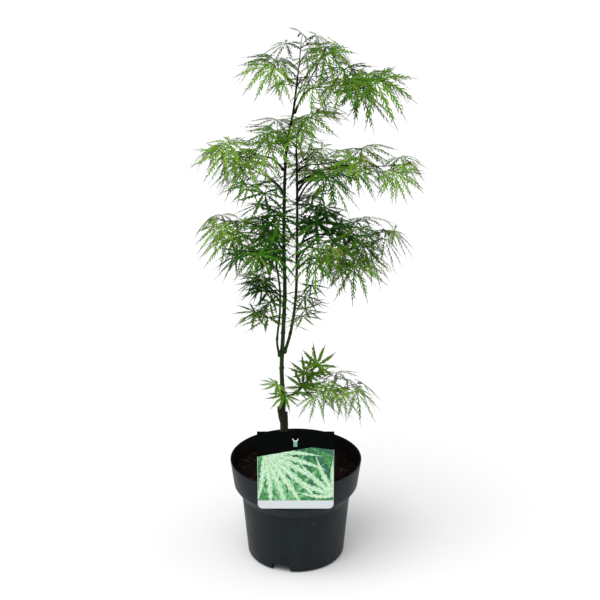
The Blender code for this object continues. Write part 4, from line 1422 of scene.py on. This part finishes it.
def try_leaf(mass, rng, place, heading, pair, side):
    """One way to set a leaf at a node: its stalk, and its hub, heading, size and droop."""
    spread = math.radians(rng.uniform(*LEAF_SPREAD)) * abs(side)
    tilt = rng.uniform(*LEAF_TILT) + CROSSED_TILT * (pair % 2) * rng.choice((-1, 1))
    way = sideways(heading, mass.azimuth, side, spread, math.radians(tilt)) + UP * PETIOLE_CLIMB
    way.normalize()
    length = mass.petiole * MM * rng.uniform(*PETIOLE_SPAN)
    stalk = petiole_line(place - way * PETIOLE_SINK, way, length)
    end = stalk.points[-1] - stalk.points[-2]
    outward = Vector((end.x, end.y, 0)).normalized()
    pitch = PITCH_UP - PITCH_HANG * mass.hang + rng.uniform(-PITCH_SPREAD, PITCH_SPREAD)
    outward = (outward + UP * pitch).normalized()
    size = mass.leaf * MM * rng.uniform(*LEAF_SPAN)
    if side == 0 and mass.leaves > 1:
        size *= TIP_LEAF
    return stalk, (stalk.points[-1], outward, size, mass.hang * rng.uniform(*HANG_SPAN))


def grow_leaves(mass, stem, taken):
    """Leaf stalks and leaves by the seeded rule, each tried till it is clear of what is taken."""
    rng = random.Random(mass.seed)
    grown = []
    for place, heading, pair, sides in nodes_on(stem, mass.leaves):
        for side in sides:
            for attempt in range(TRIES):
                stalk, leaf = try_leaf(mass, rng, place, heading, pair, side)
                trees = [tree_of(star_leaf(*leaf, room=GAP)), stalk_tree(stalk)]
                hits = {owner for owner, tree in taken for mine in trees if mine.overlap(tree)}
                if not hits or (attempt >= FREE_TRIES and hits == {mass.name}):
                    grown.append((stalk, leaf))
                    taken.append((mass.name, trees[0]))
                    break
    return grown


taken = [("limb", limb_tree(line, BOUGH_SIDES)) for line in lines.values()]
taken += [(name, limb_tree(line, TWIG_SIDES)) for name, line in twigs.items()]
wood = [tree for _, tree in taken]
grown = {mass.name: grow_leaves(mass, twigs[mass.name], taken) for mass in MASSES}
print("leaves:", sum(len(leaves) for leaves in grown.values()))

# %% [markdown]
# ## Finer twigs
# The solid model stops at one twig for each mass. Here each twig carries finer ones: short side
# twigs, each with one more leaf, wherever the spray is dense. They take the mass's own hang and
# leaves no larger than its own, so they stay near its reach. They are tried like the leaves, but
# only have to be clear of the wood, and to keep their hub a little way from every other hub. Some
# shoots end in a tuft of new leaves, small and pale, with their lobes still folded together.

# %% Finer twigs
FINE_SEED = 200
FINE_TRIES = 80
FINE_TWIG = (5 * MM, 16 * MM)
FINE_TWIG_RADIUS = 0.5 * MM
FINE_SIZE = (0.72, 1.0)
FINE_PETIOLE = (0.4, 0.9)
FINE_SPREAD = (20, 75)
FINE_TILT = (-60, 60)
FINE_SIDE = 0.6
HUB_SPACING = 15 * MM


def fine_twig(stem, azimuth, rng):
    """A short side twig somewhere along a stem, and its side: -1 or 1."""
    index = max(1, round(rng.uniform(0.2, 1.0) * (len(stem.points) - 1)))
    foot = stem.points[index]
    side = rng.choice((-1, 1))
    spread = math.radians(rng.uniform(*FINE_SPREAD))
    tilt = math.radians(rng.uniform(*FINE_TILT))
    way = sideways(heading_at(stem, index), azimuth, side, spread, tilt).normalized()
    length = rng.uniform(*FINE_TWIG)
    points = [foot, foot + way * length / 2, foot + (way + UP * 0.1).normalized() * length]
    return Line(points, [FINE_TWIG_RADIUS * 1.2, FINE_TWIG_RADIUS, FINE_TWIG_RADIUS]), side


def try_finer(mass, hubs, rng):
    """One finer twig with its leaf stalk and leaf, or nothing where they are in the way."""
    twig, side = fine_twig(twigs[mass.name], mass.azimuth, rng)
    petiole = mass.petiole * rng.uniform(*FINE_PETIOLE)
    finer = mass._replace(petiole=petiole, leaf=mass.leaf * rng.uniform(*FINE_SIZE))
    side *= FINE_SIDE
    stalk, leaf = try_leaf(finer, rng, twig.points[-1], heading_at(twig, -1), 0, side)
    near = any((hub - leaf[0]).length < HUB_SPACING for hub in hubs)
    mine = tree_of(star_leaf(*leaf))
    return None if near or any(mine.overlap(tree) for tree in wood) else (twig, stalk, leaf)


def grow_finer(mass, hubs):
    """The finer twigs of a mass. The hubs of their leaves join those that later ones avoid."""
    rng = random.Random(mass.seed + FINE_SEED)
    found = []
    for number in range(mass.finer):
        tries = (try_finer(mass, hubs, rng) for attempt in range(FINE_TRIES))
        spray = next((finer for finer in tries if finer), None)
        if spray:
            found.append(spray)
            hubs.append(spray[2][0])
    return found


hubs = [leaf[0] for leaves in grown.values() for _, leaf in leaves]
finer_twigs = {mass.name: grow_finer(mass, hubs) for mass in MASSES}
print("finer twigs:", sum(len(found) for found in finer_twigs.values()))

# %% Tufts of new leaves
# Mass, heading of the shoot (azimuth and lift), its length and the size of its leaves in millimetres
TUFTS = (
    ("crest_right", 20, 20, 12, 26),
    ("crest", 20, 30, 10, 24),
    ("top_right", 4, 10, 18, 26),
    ("second_left", 178, 22, 12, 30),
    ("second_right", 356, 8, 22, 34),
    ("second_upper", 350, 30, 10, 28),
    ("third_left", 186, 20, 8, 34),
    ("third_left_tip", 176, 10, 10, 28),
    ("third_right", 4, 16, 16, 30),
    ("third_front_right", 320, 30, 10, 26),
)
TUFT_DROOP = 1.02
TUFT_STALK = 8 * MM
TUFT_LEAVES = ((-30, 1.0), (50, 0.6))
TUFT_SEED = 200
tufts = []
rng = random.Random(TUFT_SEED)
for name, azimuth, lift, length, size in TUFTS:
    tip = twigs[name].points[-1]
    end = tip + heading_of(azimuth, lift) * length * MM
    shoot = even_line([tip, tip.lerp(end, 0.5), end], FINE_TWIG_RADIUS)
    leaves = []
    for turn, share in TUFT_LEAVES:
        way = heading_of(azimuth + turn, 25)
        stalk = petiole_line(end, way, TUFT_STALK * rng.uniform(0.7, 1.2))
        outward = heading_of(azimuth + turn, rng.uniform(0, 20))
        leaves.append((stalk, (stalk.points[-1], outward, size * share * MM, TUFT_DROOP)))
    tufts.append((shoot, leaves))
print("tufts:", len(tufts))

# %% [markdown]
# ## Finely cut leaves
# A cutleaf maple's leaf is a fan of seven to nine narrow lobes that are themselves cut to the
# midrib: each lobe is a thin folded blade with slender toothed lobelets on both sides, pointing
# forward, and a long bare tip that hangs. Each lobe is marched outwards step by step while its
# heading turns down. The blade gets two edge points at each step, and the lobelets stand along it
# in pairs. A lobelet is four small faces, so a leaf stays light although its outline is fine.

# %% Cuts of leaves, and the frames of a lobe
# How a leaf is cut: lobes, lobelets on a side, their reach, half widths of blade and lobelet (all
# shares of the leaf's length), how far the lobelets stand off the midrib, and how wide the fan opens
Cut = namedtuple("Cut", "lobes lobelets reach blade lobelet spread fan")
CUTS = {
    "fine": Cut(9, 7, 0.18, 0.0165, 0.013, 0.82, 1.0),
    "small": Cut(8, 6, 0.175, 0.0175, 0.0135, 0.85, 1.0),
    "broad": Cut(8, 6, 0.15, 0.028, 0.018, 0.7, 1.0),
    "dense": Cut(9, 7, 0.19, 0.042, 0.022, 0.75, 1.0),
    "tuft": Cut(5, 6, 0.17, 0.0145, 0.0145, 1.0, 0.36),
}
MARCH = 13
TAIL_STEPS = 4
LOBELET_SPAN = (0.12, 0.78)
LOBELET_TURNS = (math.radians(38), math.radians(26))
LOBELET_SWEEP = 0.22
TAIL_HALVES = (0.44 * MM, 0.45 * MM, 0.44 * MM, 0.36 * MM, 0.14 * MM)
FOLD = 0.4
STRAIGHT_FROM = 0.6
FULL_HANG = 0.5
PLANE_DROP = 0.55
MOST_ROLL = 0.5
MOST_BOW = 0.25


def hang_share(t):
    """How far a lobe has turned down: it bends over near the hub and then hangs straight."""
    s = min(1, t / STRAIGHT_FROM)
    return FULL_HANG * s * s * (3 - 2 * s)


def lobe_frames(hub, start_way, normal, reach, droop, bow):
    """Places along a lobe's midrib, each with its heading and the directions across and up."""
    frames = []
    place = hub.copy()
    for step in range(MARCH + 1):
        t = step / MARCH
        way = start_way.lerp(-UP, droop * hang_share(t)).normalized()
        across = way.cross(normal).normalized()
        way = (way + across * bow * t).normalized()
        lift = across.cross(way).normalized()
        frames.append((place, way, across, lift))
        place = place + way * reach / MARCH
    return frames


# %% Blades and lobelets
def strip(frames, halves):
    """A folded strip along some frames: one edge, the midrib and the other edge."""
    verts = []
    for (place, _, across, lift), half in zip(frames, halves):
        raised = lift * half * FOLD
        verts += [place - across * half + raised, place, place + across * half + raised]
    faces = []
    for low in range(0, 3 * (len(frames) - 1), 3):
        faces += [(low, low + 1, low + 4, low + 3), (low + 1, low + 2, low + 5, low + 4)]
    return verts, faces


def lobelet(frame, side, length, half, turn, rng):
    """A pointed lobelet on one side of the midrib: its green part with a tooth, and its dark point."""
    root, way, across, lift = frame
    beside = across * side
    out = way * math.cos(turn) + beside * math.sin(turn) + lift * rng.uniform(-0.3, 0.15)
    out.normalize()
    outer = (beside - out * out.dot(beside)).normalized()
    shoulder = root + out * length * 0.4
    bend = (out + way * LOBELET_SWEEP - UP * 0.1).normalized()
    neck = shoulder + bend * length * 0.34
    tip = neck + (bend + way * LOBELET_SWEEP).normalized() * length * 0.3
    verts = [
        root - way * half * 1.4,
        root + way * half * 1.4,
        shoulder - outer * half * 0.9,
        shoulder + outer * half,
        neck - outer * half * 0.5,
        neck + outer * half * 0.6,
        shoulder + bend * length * 0.2 + outer * half * 1.9,
    ]
    faces = [(0, 1, 2, 3), (3, 2, 4, 5), (3, 5, 6)]
    point = [verts[4], verts[5], tip]
    point_faces = [(0, 1, 2)]
    if side < 0:
        faces = [face[::-1] for face in faces]
        point_faces = [(2, 1, 0)]
    return (verts, faces), (point, point_faces)


# %% Lobes and leaves
def lobelet_share(t):
    """How long the lobelets are along a lobe, as a share of the longest."""
    return math.sin(math.pi * t**0.75) ** 0.6 * (1.05 - 0.4 * t)


def cut_lobe(frames, size, cut, lobelets, rng):
    """One lobe as its cut green blade, and its dark points with the bare tail."""
    first_tail = MARCH - TAIL_STEPS
    halves = []
    for step in range(first_tail + 1):
        full = math.sin(math.pi * min(1, 0.1 + step / MARCH)) ** 0.7
        halves.append(max(cut.blade * size * full, TAIL_HALVES[0]))
    green = [strip(frames[: first_tail + 1], halves)]
    dark = [strip(frames[first_tail:], TAIL_HALVES)]
    low, high = LOBELET_SPAN
    for number in range(lobelets):
        for side in (-1, 1):
            t = low + (high - low) * (number + 0.3 * side + rng.uniform(0.2, 0.4)) / lobelets
            step = min(max(int(t * MARCH), 0), MARCH - 1)
            start, way, across, lift = frames[step]
            root = start.lerp(frames[step + 1][0], t * MARCH - step)
            share = lobelet_share(max(t, 0.02))
            length = cut.reach * size * share * rng.uniform(0.8, 1.15)
            half = cut.lobelet * size * (0.5 + 0.5 * share)
            turn = (mix(*LOBELET_TURNS, t) + rng.uniform(-0.12, 0.12)) * cut.spread
            blade, point = lobelet((root, way, across, lift), side, length, half, turn, rng)
            green.append(blade)
            dark.append(point)
    return joined(green), joined(dark)


def cut_leaf(leaf, rng, cut):
    """The lobes of a leaf: its plane is tipped down and rolled a little, and each lobe hangs in it."""
    hub, outward, size, droop = leaf
    outward = (outward - UP * PLANE_DROP * droop).normalized()
    side = outward.cross(UP).normalized()
    roll = rng.uniform(-MOST_ROLL, MOST_ROLL)
    side = side * math.cos(roll) + outward.cross(side) * math.sin(roll)
    normal = side.cross(outward).normalized()
    for lobe in range(cut.lobes):
        turn = cut.fan * LOBE_FAN * (2 * lobe / (cut.lobes - 1) - 1) + rng.uniform(-0.1, 0.1)
        start_way = math.cos(turn) * outward + math.sin(turn) * side
        reach = size * (1 - LOBE_BACK_SHARE * (abs(turn) / LOBE_FAN) ** 2) * rng.uniform(0.94, 1.04)
        bow = rng.uniform(-MOST_BOW, MOST_BOW)
        frames = lobe_frames(hub, start_way, normal, reach, droop, bow)
        lobelets = max(3, round(cut.lobelets * (reach / size) ** 0.6))
        yield cut_lobe(frames, size, cut, lobelets, rng)

# %% [markdown]
# ## Sprays and their tints
# Every mass has its own tint. The sprays that reach out into the light are young yellow-green, and
# the inner and lower ones deep green: that darkening is partly the older leaves' own colour and
# partly painted shade, for the sprays that stand in the crown's shade. Within a spray a few leaves
# take the next lighter or darker tint, and so do a few lobes of a leaf. All leaves of one tint are
# joined into one piece, and so are the twigs, the leaf stalks and the dark points of the lobes.

# %% Stalks, leaves and tints
TINT_ORDER = tuple(LEAF_TINTS)
STALK_RADIUS = 0.5 * MM
STALK_FOOT = 1.5
TWIG_TUBE_STEP = 1.5 * MM
LEAF_SEED = 5
LEAF_SMOOTH = 0.7
STALK_SMOOTH = 1.0
rng = random.Random(LEAF_SEED)
sprays = {tint: [] for tint in TINT_ORDER}
point_shapes = []
stalk_shapes = []
twig_shapes = []


def neighbour(tint, darker, lighter):
    """A tint, or with some chance the next darker or lighter one, short of the palest."""
    roll = rng.random()
    index = TINT_ORDER.index(tint) + (roll > 1 - lighter) - (roll < darker)
    return TINT_ORDER[min(max(index, 0), len(TINT_ORDER) - 2)]


def dress_twig(line, sides):
    """Adds one twig to the shapes."""
    twig_shapes.append(grown_tube(line, sides, False, TWIG_TUBE_STEP))


def dress_leaf(stalk, leaf, tint, cut):
    """Adds one leaf and its stalk to the shapes, with a few lobes in a neighbouring tint."""
    line = smooth_line(stalk.points, [STALK_RADIUS] * 3, 3 * MM)
    radii = [STALK_RADIUS * STALK_FOOT, *line.radii[1:]]
    stalk_shapes.append(tube(Line(line.points, radii), 5))
    for blade_shape, dark_shape in cut_leaf(leaf, rng, CUTS[cut]):
        own = tint if tint == "new" else neighbour(tint, 0.25, 0.22)
        sprays[own].append(blade_shape)
        (sprays[own] if cut == "broad" else point_shapes).append(dark_shape)


for mass in MASSES:
    dress_twig(twigs[mass.name], 6)
    leaves = list(grown[mass.name])
    for twig, stalk, leaf in finer_twigs[mass.name]:
        dress_twig(twig, 5)
        leaves.append((stalk, leaf))
    for stalk, (hub, outward, size, droop) in leaves:
        tint = neighbour(mass.tint, 0.2, 0.2)
        cut = "small" if size < SMALL_LEAF and mass.cut == "fine" else mass.cut
        dress_leaf(stalk, (hub, outward, size * mass.scale, droop * mass.hanging), tint, cut)
for shoot, leaves in tufts:
    dress_twig(shoot, 5)
    for stalk, leaf in leaves:
        dress_leaf(stalk, leaf, "new", "tuft")

# %% Pieces of foliage
for tint, shapes in sprays.items():
    name = f"leaves_{tint}"
    nodes = [mass.name + "_leaves" for mass in MASSES if mass.tint == tint]
    grow_piece(name, shapes, make_leaf(name, LEAF_TINTS[tint]), nodes, LEAF_SMOOTH)
point_finish = make_leaf("leaf_points", POINT_COLOUR)
grow_piece("leaf_points", point_shapes, point_finish, smooth_angle=LEAF_SMOOTH)
stalk_finish = make_leaf("leaf_stalks", STALK_COLOUR)
grow_piece("leaf_stalks", stalk_shapes, stalk_finish, smooth_angle=STALK_SMOOTH)
grow_piece("leaf_twigs", twig_shapes, twig_bark, smooth_angle=STALK_SMOOTH)

# %% [markdown]
# ## Floor, light and camera
# The plant stands on a plain pale floor that runs to the horizon, under a white sky and two soft
# suns: a key from the upper left and a weaker fill from the right. A lens of 77 mm on a 36 mm
# sensor looks down at 20 degrees from 1.67 m in front, so the pot's rim is an ellipse and the crown
# is seen from a little above.

# %% Stage
FLOOR_SIZE = 90
FLOOR_DROP = 0.2 * MM
SKY_STRENGTH = 0.62
SENSOR = 36.0
LENS = 76.92
CAMERA_PLACE = Vector((0.006, -1.67, 1.0))
CAMERA_PITCH = math.radians(20)


def put(name, data, place, turn):
    """An object that holds a lamp or a camera, at a place and turned by Euler angles."""
    made = bpy.data.objects.new(name, data)
    made.location = place
    made.rotation_euler = turn
    bpy.context.scene.collection.objects.link(made)
    return made


def sun(name, place, strength, softness):
    """A distant lamp that shines from a place to the origin, as wide as its softness in degrees."""
    light = bpy.data.lights.new(name, "SUN")
    light.energy = strength
    light.angle = math.radians(softness)
    put(name, light, place, (-Vector(place)).to_track_quat("-Z", "Y").to_euler())


floor_place = (0, 0, -FLOOR_DROP)
floor = add_primitive(bpy.ops.mesh.primitive_plane_add, size=FLOOR_SIZE, location=floor_place)
floor.name = "floor"
paper = Finish("floor_paper", Base_Color=linear("EBEBEB"), Roughness=0.9)
floor.data.materials.append(paper.made)

world = bpy.data.worlds.new("studio")
bpy.context.scene.world = world
world.use_nodes = True
world.node_tree.nodes["Background"].inputs["Color"].default_value = (1.0, 1.0, 1.0, 1.0)
world.node_tree.nodes["Background"].inputs["Strength"].default_value = SKY_STRENGTH
bpy.context.scene.view_settings.view_transform = "Standard"
sun("key", (-0.9, -0.9, 2.6), 2.1, 50)
sun("fill", (1.6, -0.6, 1.4), 0.5, 70)
camera_data = bpy.data.cameras.new("camera")
camera_data.sensor_width = SENSOR
camera_data.lens = LENS
camera = put("camera", camera_data, CAMERA_PLACE, (math.pi / 2 - CAMERA_PITCH, 0, 0))
bpy.context.scene.camera = camera
